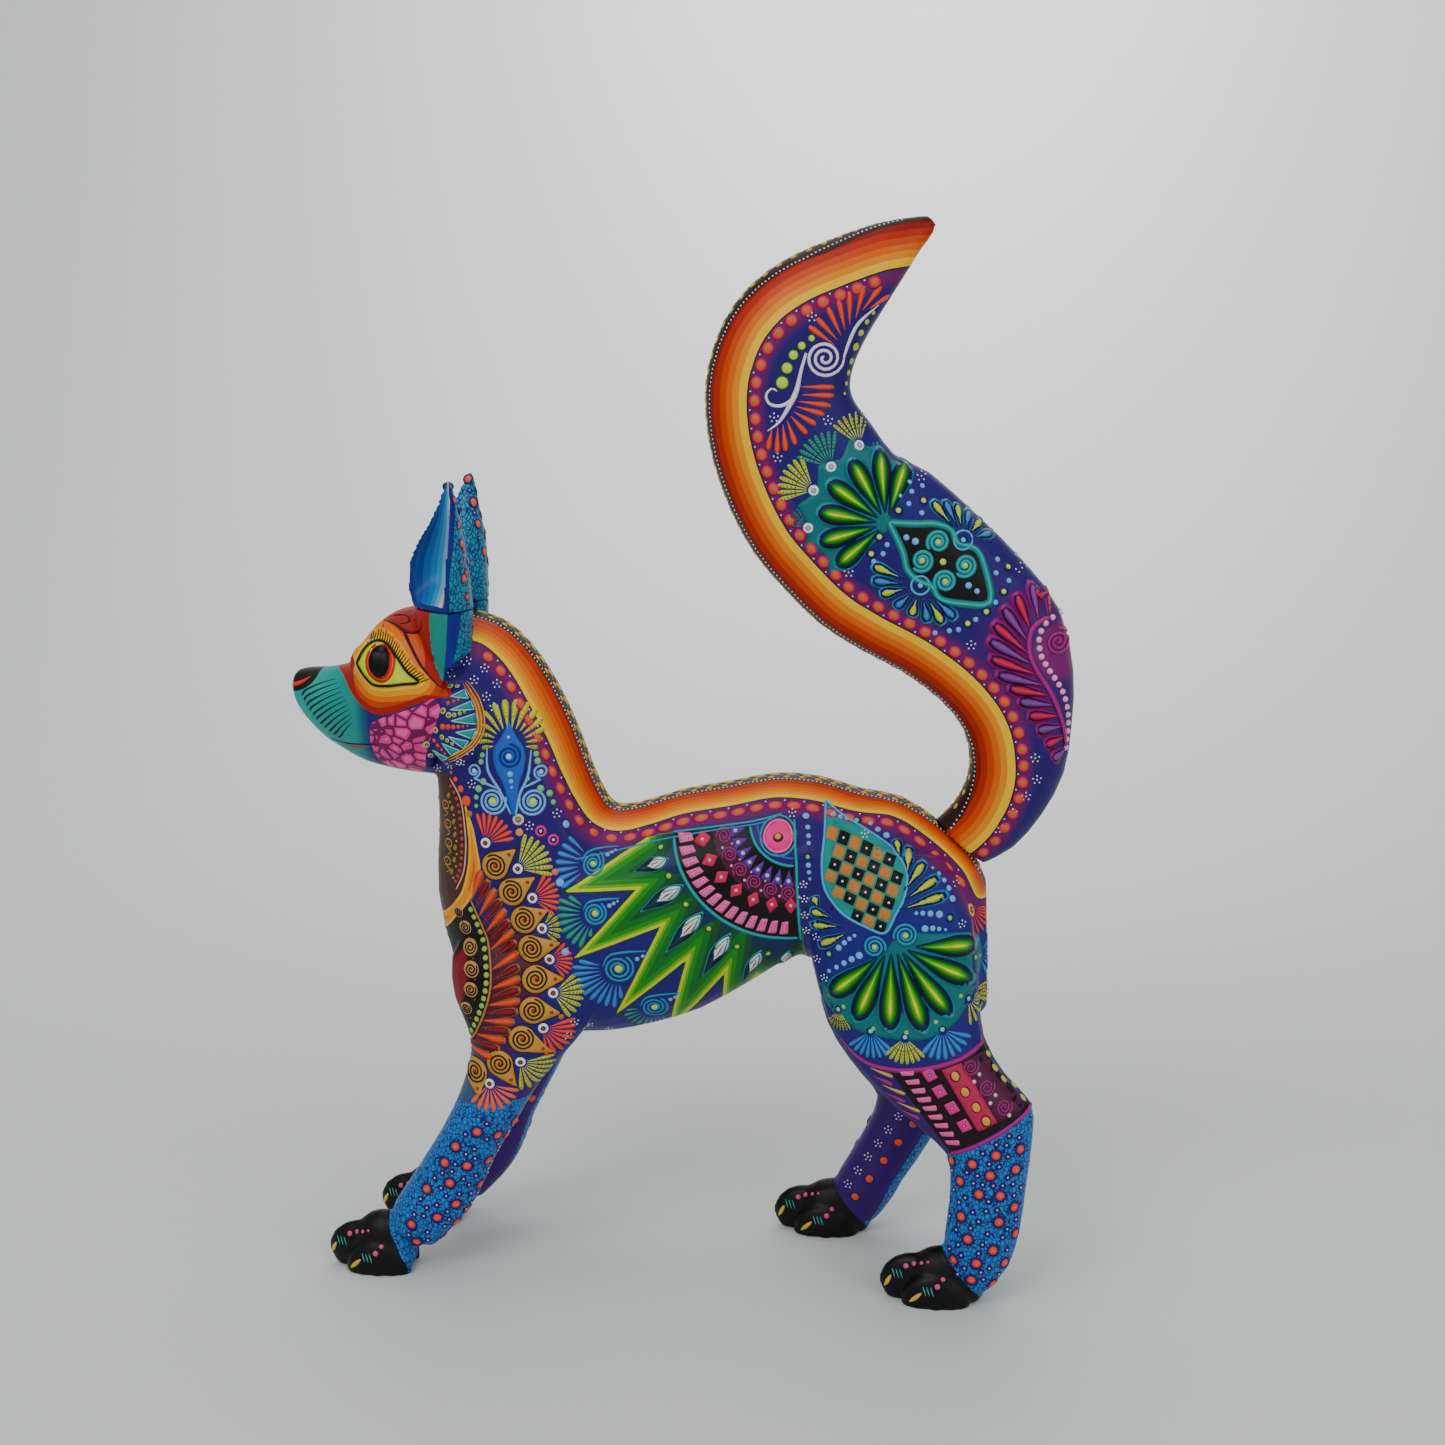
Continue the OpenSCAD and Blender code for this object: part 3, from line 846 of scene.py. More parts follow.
def side_view(tree, side, bend=None):
    """Returns place(x, z): where a point of the side view lies on the left (-1) or right (1) flank."""
    inward = Vector((0, -side, 0))

    def place(x, z):
        if bend is not None and side > 0:
            x = float(x + bend(x, z))
        found, normal, _, _ = tree.ray_cast(Vector((x, side * FAR, z)), inward)
        if found is None or (z < BELLY and side * found.y < 0):
            middle = LEG_MIDDLE if z < BELLY else BODY_MIDDLE
            found, normal, _, _ = tree.find_nearest(Vector((x, side * middle, z)))
        return found, normal

    return place


def along_view(tree, origin, right, up, inward):
    """Returns place(u, v) for a drawing on a plane at origin, laid on the skin along inward."""
    origin, right, up, inward = (Vector(a) for a in (origin, right, up, inward))

    def place(u, v):
        start = origin + right * u + up * v
        found, normal, _, _ = tree.ray_cast(start, inward)
        if found is None:
            found, normal, _, _ = tree.find_nearest(start + inward * 40)
        return found, normal

    return place


def ring_template(segments, levels):
    """Unit points (round, round, height) and faces of a low dome."""
    points, faces = [], []
    for radius, height in levels:
        if radius == 0:
            points.append((0, 0, height))
        else:
            for k in range(segments):
                a = 2 * math.pi * k / segments
                points.append((radius * math.cos(a), radius * math.sin(a), height))
    rings = sum(1 for radius, _ in levels if radius)
    faces.append(tuple(range(segments - 1, -1, -1)))
    for r in range(rings - 1):
        for k in range(segments):
            j = (k + 1) % segments
            low, high = r * segments, (r + 1) * segments
            faces.append((low + k, low + j, high + j, high + k))
    top = len(points) - 1
    last = (rings - 1) * segments
    for k in range(segments):
        faces.append((last + k, last + (k + 1) % segments, top))
    return np.array(points, float), faces


DOME = ring_template(14, DOT_LOW)
SMALL_DOME = ring_template(7, [(1.0, -0.3), (0.9, 0.45), (0.0, 1.0)])


class Paint:
    """Raised marks of paint on one body, laid over a skin. Every mark is its own closed shape."""

    def __init__(self, name, body, slot):
        self.name, self.body, self.slot = name, body, slot
        self.points, self.faces, self.codes = [], [], []
        self.base = 0
        self.place = None

    def on(self, place):
        self.place = place
        return self

    def spots(self, line):
        """The skin points and normals under the points of a flat line."""
        found = [self.place(u, v) for u, v in line]
        return np.array([tuple(p) for p, _ in found]), np.array([tuple(n) for _, n in found])

    def add(self, points, faces, code):
        self.points.append(points)
        self.faces += [tuple(i + self.base for i in f) for f in faces]
        self.codes += [code] * len(faces)
        self.base += len(points)

    def stroke(self, line, widths, code, layer=0, step=1.3):
        """A brush stroke: half widths are one number, or one for each of some even places along it."""
        line = resampled(line, step)
        at = np.linspace(0, 1, len(line))
        if np.isscalar(widths):
            half = np.full(len(line), float(widths))
            half[[0, -1]] *= 0.55
        else:
            half = np.interp(at, np.linspace(0, 1, len(widths)), widths)
        p, n = self.spots(line)
        if len(p) > 4:
            n[1:-1] = n[:-2] + n[1:-1] + n[2:]
            n /= np.linalg.norm(n, axis=1)[:, None]
        run = np.gradient(p, axis=0)
        across = np.cross(n, run)
        size = np.linalg.norm(across, axis=1)
        size[size < 1e-9] = 1
        across /= size[:, None]
        base = layer * LAYER
        rise = np.clip(0.16 * half + 0.12, 0.12, 0.34)
        rings = np.stack([
            p + across * half[:, None] + n * (base - 0.03),
            p + n * (base + rise)[:, None],
            p - across * half[:, None] + n * (base - 0.03),
            p - n * SINK,
        ], axis=1).reshape(-1, 3)
        count = len(p)
        faces = [
            (4 * i + k, 4 * i + (k + 1) % 4, 4 * i + 4 + (k + 1) % 4, 4 * i + 4 + k)
            for i in range(count - 1) for k in range(4)
        ]
        faces += [(3, 2, 1, 0), tuple(4 * (count - 1) + k for k in range(4))]
        self.add(rings, faces, code)

    def dot(self, u, v, radius, code, layer=0, tall=None, long=1.0, turn=0.0):
        """A round or oval drop of paint. turn is the direction of its long axis, in degrees."""
        p, n = self.place(u, v)
        p, n = np.array(p), np.array(n)
        a = math.radians(turn)
        q, _ = self.place(u + math.cos(a), v + math.sin(a))
        first = np.array(q) - p
        first -= n * (first @ n)
        size = np.linalg.norm(first)
        first = first / size if size > 0.05 else np.cross(n, (0.3, 0.9, 0.1))
        first /= np.linalg.norm(first)
        second = np.cross(n, first)
        points, faces = DOME if radius > 0.75 else SMALL_DOME
        height = (0.32 * radius + 0.12 if tall is None else tall) + layer * LAYER
        rise = np.where(points[:, 2] < 0, -SINK, np.maximum(points[:, 2] * height, 0.03))
        flat = radius * (points[:, :1] * first * long + points[:, 1:2] * second)
        self.add(p + flat + rise[:, None] * n, faces, code)

    def area(self, outline, code, layer=0, step=None):
        """A flat patch of paint over any simple outline."""
        outline = np.array(outline, float)
        if np.allclose(outline[0], outline[-1]):
            outline = outline[:-1]
        if step is None:
            step = min(1.6, max(0.45, 0.13 * float(np.ptp(outline, axis=0).max())))
        ring = resampled(np.concatenate([outline, outline[:1]]), step)[:-1]
        low, high = ring.min(0), ring.max(0)
        grid = np.array([
            (u, v) for u in np.arange(low[0], high[0], 1.4 * step) for v in np.arange(low[1], high[1],
                1.4 * step)
        ])
        grid = grid[shape_distance(grid, ring) < -0.6 * step] if len(grid) else grid.reshape(0, 2)
        flat = [Vector(q) for q in np.concatenate([ring, grid])]
        edges = [(i, (i + 1) % len(ring)) for i in range(len(ring))]
        flat, _, tris, _, _, _ = delaunay_2d_cdt(flat, edges, [], 1, 1e-5)
        p, n = self.spots([tuple(q) for q in flat])
        a, b, c = (p[[t[k] for t in tris]] for k in range(3))
        turned = np.sum(np.cross(b - a, c - a) * n[[t[0] for t in tris]]) < 0
        if turned:
            tris = [tuple(reversed(t)) for t in tris]
        count = len(p)
        points = np.concatenate([p + n * (0.1 + layer * LAYER), p - n * SINK])
        faces = [tuple(t) for t in tris] + [tuple(count + i for i in reversed(t)) for t in tris]
        sides = {}
        for t in tris:
            for i, j in ((t[0], t[1]), (t[1], t[2]), (t[2], t[0])):
                if sides.pop((j, i), None) is None:
                    sides[(i, j)] = True
        faces += [(j, i, count + i, count + j) for i, j in sides]
        self.add(points, faces, code)

    # Marks made of strokes and dots.
    def ring(self, u, v, radius, half, code, layer=0, start=0, sweep=360, squeeze=1.0):
        count = max(6, int(abs(sweep) * radius / 70))
        angles = np.radians(np.linspace(start, start + sweep, count + 1))
        line = np.stack([u + radius * np.cos(angles), v + radius * squeeze * np.sin(angles)], axis=1)
        self.stroke(line, half, code, layer, min(1.2, radius * 0.45))

    def spiral(self, u, v, radius, turns, half, code, layer=0, start=0, hand=1, core=0.12):
        share = np.linspace(0, 1, int(16 * turns) + 1)
        angles = math.radians(start) + hand * 2 * math.pi * turns * (share - 1)
        reach = radius * (core + (1 - core) * share)
        line = np.stack([u + reach * np.cos(angles), v + reach * np.sin(angles)], axis=1)
        self.stroke(line, half, code, layer, 0.9)

    def petal(self, u, v, turn, inner, outer, half, code, layer=0, shape=CLUB):
        """A stroke that swells away from a pivot."""
        a = math.radians(turn)
        line = [(u + inner * math.cos(a), v + inner * math.sin(a)),
            (u + outer * math.cos(a), v + outer * math.sin(a))]
        self.stroke(line, [s * half for s in shape], code, layer, (outer - inner) / 8)

    def fan(self, u, v, start, sweep, count, inner, outer, code, specks=None, layer=0, fill=0.72,
            swell=None, clear=None):
        """Petals round a pivot. specks colours fine dots on each; clear is an outline to stop at."""
        gap = sweep / max(1, count - 1)
        for k in range(count):
            turn = start + gap * k
            reach = outer * (1.0 if swell is None else swell(k / max(1, count - 1)))
            half = fill * 0.5 * math.radians(abs(gap)) * reach * 0.9
            if clear is not None:
                a = math.radians(turn)
                steps = np.linspace(inner, reach + 0.8, 12)
                ray = np.stack([u + steps * math.cos(a), v + steps * math.sin(a)], axis=1)
                hit = np.nonzero(shape_distance(ray, clear) < 0.5)[0]
                reach = reach if len(hit) == 0 else steps[hit[0]] - 1.2
            if reach < inner + 2.5:
                continue
            self.petal(u, v, turn, inner, reach, min(half, 2.0), code, layer)
            if specks:
                a = math.radians(turn)
                for t in (0.4, 0.54, 0.68, 0.8, 0.9):
                    r = inner + (reach - inner) * t
                    self.dot(u + r * math.cos(a), v + r * math.sin(a), 0.33, specks, layer + 2, 0.16)

    def dots(self, line, radii, code, layer=0, rim=None):
        """A row of dots along a line; radii go evenly from the first to the last."""
        line = np.array(line, float)
        for (u, v), r in zip(line, np.interp(np.linspace(0, 1, len(line)), np.linspace(0, 1, len(radii)),
                radii)):
            if rim:
                self.dot(u, v, r * 1.25, rim, layer, 0.1)
            self.dot(u, v, r, code, layer + (1 if rim else 0))

    def flower(self, u, v, size=1.7, code="F2EEF6", count=5, turn=20):
        """A blossom of fine white dots."""
        self.dot(u, v, 0.38, code)
        for k in range(count):
            a = math.radians(turn + 360 * k / count)
            self.dot(u + size * math.cos(a), v + size * math.sin(a), 0.38, code)

    def eye_dot(self, u, v, radius, rim, middle, core, layer=0):
        """Three drops on top of each other."""
        self.dot(u, v, radius, rim, layer, 0.12)
        self.dot(u, v, radius * 0.66, middle, layer + 1, 0.14)
        self.dot(u, v, radius * 0.34, core, layer + 2, 0.16)

    def build(self):
        mesh = bpy.data.meshes.new(self.name)
        mesh.from_pydata((np.concatenate(self.points) * MM).tolist(), [], self.faces)
        slots = sorted(set(self.codes))
        for code in slots:
            mesh.materials.append(paint_material(code))
        index = {code: k for k, code in enumerate(slots)}
        mesh.polygons.foreach_set("material_index", [index[c] for c in self.codes])
        mesh.polygons.foreach_set("use_smooth", [True] * len(mesh.polygons))
        obj = bpy.data.objects.new(self.name, mesh)
        bpy.context.scene.collection.objects.link(obj)
        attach(obj, self.body)
        return obj


paint_materials = {}


def paint_material(code):
    """Thick glossy paint of one colour."""
    if code not in paint_materials:
        made = bpy.data.materials.new("paint_" + code)
        made.use_nodes = True
        shader = made.node_tree.nodes["Principled BSDF"]
        shader.inputs["Base Color"].default_value = (*linear(code), 1)
        shader.inputs["Roughness"].default_value = 0.4
        shader.inputs["Specular IOR Level"].default_value = 0.22
        paint_materials[code] = made
    return paint_materials[code]


# ---------------------------------------------------------------- painted wooden pieces
FINISHES = {"body": body_finish(), "head": head_finish(), "tail": tail_finish(), "ear": ear_finish()}
BARE_WOOD = wood_finish()


def finished(obj, node, body, finish):
    obj.data.materials.append(FINISHES[finish])
    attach(obj, body)
    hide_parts(node)


body_pieces = split_skin(body_skin, CARVED)
for name, piece in body_pieces.items():
    if name == "head":
        face_fields(piece.data)
        finished(piece, name, "figure", "head")
    else:
        body_fields(piece.data, name.endswith("leg_right"))
        finished(piece, name, "figure", "body")


def whole_piece(mesh, name):
    """A piece made of a whole skin."""
    normals = vertex_normals(mesh).copy()
    return piece_from_faces(mesh, range(len(mesh.polygons)), normals, name)


tail_piece = whole_piece(tail_skin, "tail_wood")
tail_fields(tail_piece.data)
finished(tail_piece, "tail", "tail", "tail")
for name, side in (("left", -1), ("right", 1)):
    piece = whole_piece(ear_skins[name], "ear_" + name + "_wood")
    ear_fields(piece.data, side)
    finished(piece, "ear_" + name, "ear_" + name, "ear")
for name, node in NODES.items():
    if name.endswith("_peg") or name.endswith("_dowel"):
        node.data.materials.clear()
        node.data.materials.append(BARE_WOOD)

body_tree = tree_in_mm(body_skin)
tail_tree = tree_in_mm(tail_skin)
ear_trees = {side: tree_in_mm(ear_skins[side]) for side in ear_skins}

# ---------------------------------------------------------------- paint colours
LIME = "C6CE2E"
LIME_DARK = "22300E"
CORAL = "F04A24"
SALMON = "E8694C"
PINK = "EE5FA2"
HOT_PINK = "EA1F84"
CRIMSON = "C81E50"
MAGENTA = "A0187C"
COPPER = "B06A34"
GOLD = "D8A23A"
SKY = "3A80CC"
PALE_BLUE = "6FAEE6"
ICE = "A6D4EE"
SEA = "2F9378"
AQUA = "1E9AA0"
STEEL = "2A86B0"
MINT = "63C07A"
LIME_DOT = "C2DA4A"
WHITE = "ECE8F2"
NAVY = "141A55"
INK = "08080C"
LEAF_DARK = "0A5A20"
LEAF_GREEN = "1E9418"
LEAF_LIGHT = "D2E21A"
AMETHYST = "5A1E9A"
HALO = "1A0E62"
LOTUS_GROUND = "0A6A70"
OLD_GOLD = "B8903C"
WINE_SPECK = "5A0A2A"
PALE_MINT = "A8E0B0"
BRICK = "A8281A"
DEEP_TEAL = "128A88"
OLIVE = "B4C04A"

# Half widths along a petal, as shares of its widest.
LEAF_SHAPE = (0.1, 0.3, 0.55, 0.8, 0.97, 1.0, 0.85, 0.55, 0.12)
LOTUS_SHAPE = (0.08, 0.18, 0.28, 0.38, 0.48, 0.58, 0.68, 0.78, 0.87, 0.94, 0.99, 1.0, 0.97, 0.88, 0.7, 0.34)


def arc_points(centre, radius, start, sweep, count, squeeze=1.0):
    angles = np.radians(np.linspace(start, start + sweep, count))
    return [(centre[0] + radius * math.cos(a), centre[1] + radius * squeeze * math.sin(a)) for a in angles]


def between(a, b, t):
    return (a[0] + (b[0] - a[0]) * t, a[1] + (b[1] - a[1]) * t)


def petal_between(p, root, tip, half, code, layer=0, specks=None, shape=CLUB, parts=7):
    """A petal stroke from one place to another."""
    length = math.dist(root, tip)
    p.stroke([root, tip], [s * half for s in shape], code, layer, max(0.9, length / parts))
    if specks:
        for t in (0.42, 0.56, 0.70, 0.84):
            p.dot(*between(root, tip, t), 0.26, specks, layer + 2, 0.1)


def outlined_petal(p, root, tip, half, rim, gap, code, layer=0, specks=None):
    """A petal inside a thin outline of its own."""
    petal_between(p, root, between(root, tip, 1.14), half + 1.35, rim, layer)
    petal_between(p, root, between(root, tip, 1.07), half + 0.8, gap, layer + 1)
    petal_between(p, between(root, tip, 0.2), tip, half, code, layer + 2, specks)


def lotus_petal(p, root, tip, half):
    """A green petal that gets lighter towards its middle, inside a teal outline."""
    for layer, (start, end, width, code) in enumerate((
        (0.0, 1.13, half + 1.9, AQUA), (0.0, 1.08, half + 1.2, NAVY), (0.06, 1.02, half, LEAF_DARK),
        (0.14, 0.98, half * 0.78, LEAF_GREEN), (0.24, 0.94, half * 0.52, "6AB41A"),
        (0.36, 0.90, half * 0.28, LEAF_LIGHT),
    )):
        ends = between(root, tip, start), between(root, tip, end)
        petal_between(p, *ends, width, code, layer + 1, None, LOTUS_SHAPE, 16)


def ringed_spiral(p, x, z, radius, code, core, start=0, hand=1, turns=2.2, half=0.5, layer=1):
    """A spiral line that ends round a dot."""
    p.spiral(x, z, radius, turns, half, code, layer, start, hand, 0.2)
    p.dot(x, z, radius * 0.24 + 0.2, core, layer + 1)


def band_edge(line, width, extra):
    """A line beside a graded band whose width is a number or follows the way along it."""
    line = np.array(line, float)
    run = np.concatenate([[0], np.cumsum(np.linalg.norm(np.diff(line, axis=0), axis=1))])
    away = (width(run) if callable(width) else width) + extra
    return line + (offset_line(line, 1.0) - line) * np.reshape(away, (-1, 1))


def oval_row(p, line, width, spacing, first, last, radius, stretch):
    """Oval drops beside the graded band, with fine white dots between them."""
    row = resampled(band_edge(line, width, radius + 0.3), spacing)
    run = np.gradient(row, axis=0)
    fine = offset_line(row, -radius * 0.85)
    longer = np.interp(np.linspace(0, 1, len(row)), [0, 0.38, 0.48, 1], stretch)
    for k in range(first, len(row) - last):
        u, v = row[k]
        turn = math.degrees(math.atan2(run[k, 1], run[k, 0]))
        p.dot(u, v, radius * 1.12, "8A0A4A", 0, 0.08, longer[k], turn)
        p.dot(u, v, radius * 0.95, "CC2458", 1, 0.12, longer[k], turn)
        p.dot(u, v, radius * 0.76, "E2542C", 2, 0.16, longer[k], turn)
        p.dot(u, v, radius * 0.5, "AE7A2E", 3, 0.24, longer[k], turn)
        if k + 1 < len(row) - last:
            p.dot(*((fine[k] + fine[k + 1]) / 2), 0.36, WHITE)


def strip_view(tree, line):
    """Returns place(s, y): a point of the strip, by the length along its line and the side offset."""
    line = np.array(line, float)
    reach = np.concatenate([[0], np.cumsum(np.linalg.norm(np.diff(line, axis=0), axis=1))])
    run = np.gradient(line, axis=0)
    run /= np.linalg.norm(run, axis=1)[:, None]

    def place(s, y):
        x, z, rx, rz = (np.interp(s, reach, column) for column in (line[:, 0], line[:, 1], run[:, 0],
            run[:, 1]))
        inward = Vector((rz, 0, -rx))
        start = Vector((x, y, z)) - inward * 12
        found, normal, _, _ = tree.ray_cast(start, inward)
        if found is None:
            found, normal, _, _ = tree.find_nearest(Vector((x, y, z)))
        return found, normal

    return place, reach[-1]


def paint_strip(p, tree, line, skip, taper, half):
    """Gold drops down the middle of the dark strip and fine white dots along both edges."""
    place, length = strip_view(tree, line)
    p.on(place)
    s = skip
    while s < length - 6 - taper * 0.1:
        share = min(1.0, (length - s + 4) / (taper + 1))
        p.dot(s, 0, 1.15 * share, "C8A82E", 0, 0.5 * share, 1.7, 0)
        for side in (-1, 1):
            p.dot(s + 2.6, side * 1.9 * share, 0.75 * share, "7E6234")
            p.dot(s + 4.6, side * 0.5 * half * share, 0.9 * share, "C8A640", 0, None, 1.5, 0)
        p.dot(s + 3.8, 0, 0.6 * share, "6A5026")
        s += 6.4
    for edge in (0.7 - half, half - 0.7):
        for s in np.arange(skip - 2, length - 4 - taper * 0.1, 1.75):
            p.dot(float(s), edge * min(1.0, (length - s + 6) / (taper + 1)), 0.4, WHITE, 0, 0.28)


def paint_flank_fans(p):
    """The four fans behind the shoulder, each round a ringed spiral."""
    p.stroke(smooth_line([(-38, 179), (-24, 181), (-2, 187), (20, 191.5), (36, 194.5), (44, 198)]), 0.5,
        STEEL)
    for pivot, radius, spread, outer, count, code in (
        ((-31, 177), 4.4, (132, 258), 14.5, 10, SKY),
        ((-29, 159), 4.7, (150, 282), 15.5, 12, SEA),
        ((-20, 136), 6.2, (168, 292), 18.5, 13, SKY),
        ((-7, 117), 5.4, (186, 322), 13.0, 13, SEA),
    ):
        x, z = pivot
        p.fan(x, z, spread[0], spread[1] - spread[0], count, radius + 1.3, outer, code,
            clear=ZIGZAG + ZIGZAG_TOP)
        ringed_spiral(p, x, z, radius, STEEL, LIME_DOT, 60, 1, 2.6, 0.55)
        p.stroke(smooth_line([
            (x - radius, z + 1), (x - radius * 0.6, z + radius * 0.9), (x + 2, z + radius * 1.15),
            (x + radius + 5, z + radius + 1.4),
        ]), [0.3, 0.55, 0.55, 0.3], STEEL, 1)
        for t, r in ((1.35, 0.95), (1.75, 0.8), (2.1, 0.6)):
            p.dot(x + radius * t * 0.9, z + radius * t * 0.5, r, PALE_BLUE, 1)


def paint_zigzag(p):
    """The pale leaves between the teeth of the zigzag, and the drops behind them."""
    for tip, root in (
        ((-14, 175), (-1, 180)), ((-11, 160), (5, 170)), ((-1, 143), (13, 159)), ((13, 132), (24, 150)),
        ((28, 126), (36, 142)), ((43, 130), (47, 141)),
    ):
        for half, code, start, end, layer in (
            (3.5, "2E98A2", 0.0, 1.06, 1), (3.05, "0A2E3A", 0.05, 1.02, 2), (2.5, "D6EEEA", 0.36, 0.98, 3),
        ):
            petal_between(p, between(tip, root, start), between(tip, root, end), half, code, layer, None,
                LEAF_SHAPE)
        p.stroke([between(tip, root, 0.50), between(tip, root, 0.80)], [0.2, 0.45, 0.2], "B0281C", 5)
        run = (root[0] - tip[0], root[1] - tip[1])
        for lift in (-1, 1):
            vein = (tip[0] + 0.62 * run[0] - lift * 0.10 * run[1],
                tip[1] + 0.62 * run[1] + lift * 0.10 * run[0])
            p.stroke([vein, between(tip, root, 0.96)], 0.18, "0F5A60", 5)
    for x, z in ((-4, 184), (0, 174), (7, 163), (16, 153), (27, 145), (39, 141)):
        p.eye_dot(x, z, 1.75, LEAF_DARK, "A8BE3A", LIME_DOT, 1)


def paint_quarter_fan(p):
    """The blocks, diamonds, spirals and rays of the quarter fan, and its disc."""
    turns = np.linspace(FAN_TURN[0] + 2, FAN_TURN[1] - 1, 34)
    p.stroke([fan_point(1.0, a) for a in turns], 0.75, AQUA, 1)
    p.stroke([fan_point(0.36, a) for a in turns], 0.6, AQUA, 1)
    p.stroke([fan_point(0.3, a) for a in turns], 0.4, "2E6AB8", 1)
    p.stroke([(49, 196), (50.6, 180), (51.4, 162), (52.2, 147)], 0.6, AQUA, 1)
    p.stroke([(0, 189.2), (16, 191.8), (32, 194.6), (44, 197.6)], 0.55, AQUA, 1)
    for k in range(14):
        a = 191.5 + k * 5.75
        block = [fan_point(0.965, a - 2.3), fan_point(0.955, a + 1.9), fan_point(0.835, a + 2.1),
            fan_point(0.85, a - 1.5)]
        p.area(block, PINK, 0)
        for share in (0.87, 0.9, 0.93):
            p.dot(*fan_point(share, a - 0.9), 0.22, WINE_SPECK, 2, 0.1)
            p.dot(*fan_point(share + 0.01, a + 0.9), 0.22, WINE_SPECK, 2, 0.1)
    for k in range(7):
        a = 194 + k * 12.6
        share = 0.765 - 0.012 * k
        diamond = [fan_point(share + 0.075, a), fan_point(share, a + 4.4), fan_point(share - 0.075, a),
            fan_point(share, a - 4.4)]
        p.area(diamond, CRIMSON, 0)
        p.dot(*fan_point(share, a), 0.75, "D8B8C8", 1)
    for k in range(6):
        a = 195 + k * 14.6
        p.spiral(*fan_point(0.585, a), 3.1, 2.3, 0.4, "9A2A6C", 0, a, 1, 0.1)
        p.dot(*fan_point(0.62, a + 7.7), 0.65, "C8A8BC")
        p.dot(*fan_point(0.535, a + 7.7), 0.5, "C8A8BC")
    for k in range(8):
        a = 193 + k * 10.6
        p.area([fan_point(0.53, a - 5), fan_point(0.395, a), fan_point(0.53, a + 5)], AMETHYST, 0)
        p.dot(*fan_point(0.485, a), 0.85, "C6C2CE", 1)
    p.ring(43, 190, 7.1, 0.45, AQUA, 1)
    p.area(arc_points((43, 190), 6.1, 0, 348, 30), HOT_PINK, 1)
    p.ring(43, 190, 5.6, 0.3, "FF6FB4", 3)
    p.dot(43, 190, 2.3, "4A0A2A", 3, 0.1)
    p.dot(43, 190, 1.5, GOLD, 4)


def paint_channel(p):
    """Drops and blossoms between the quarter fan and the thigh."""
    p.dots([(53.5, 197), (54.5, 193.4), (55, 190.6), (55.2, 188)], (1.6, 1.1, 1.0, 0.9), PALE_BLUE, 1)
    p.eye_dot(53.5, 197, 1.8, NAVY, MINT, PALE_MINT, 2)
    p.eye_dot(55, 183, 1.6, NAVY, MINT, PALE_MINT, 2)
    p.dots([(55.3, 179.8), (55.6, 177), (56, 174.4)], (1.1, 0.9, 0.7), PALE_BLUE, 1)
    for x, z in ((53.5, 172), (53.8, 166), (54, 159), (54.5, 152), (-34, 108), (-27, 104), (48, 198)):
        p.flower(x, z, 1.3)


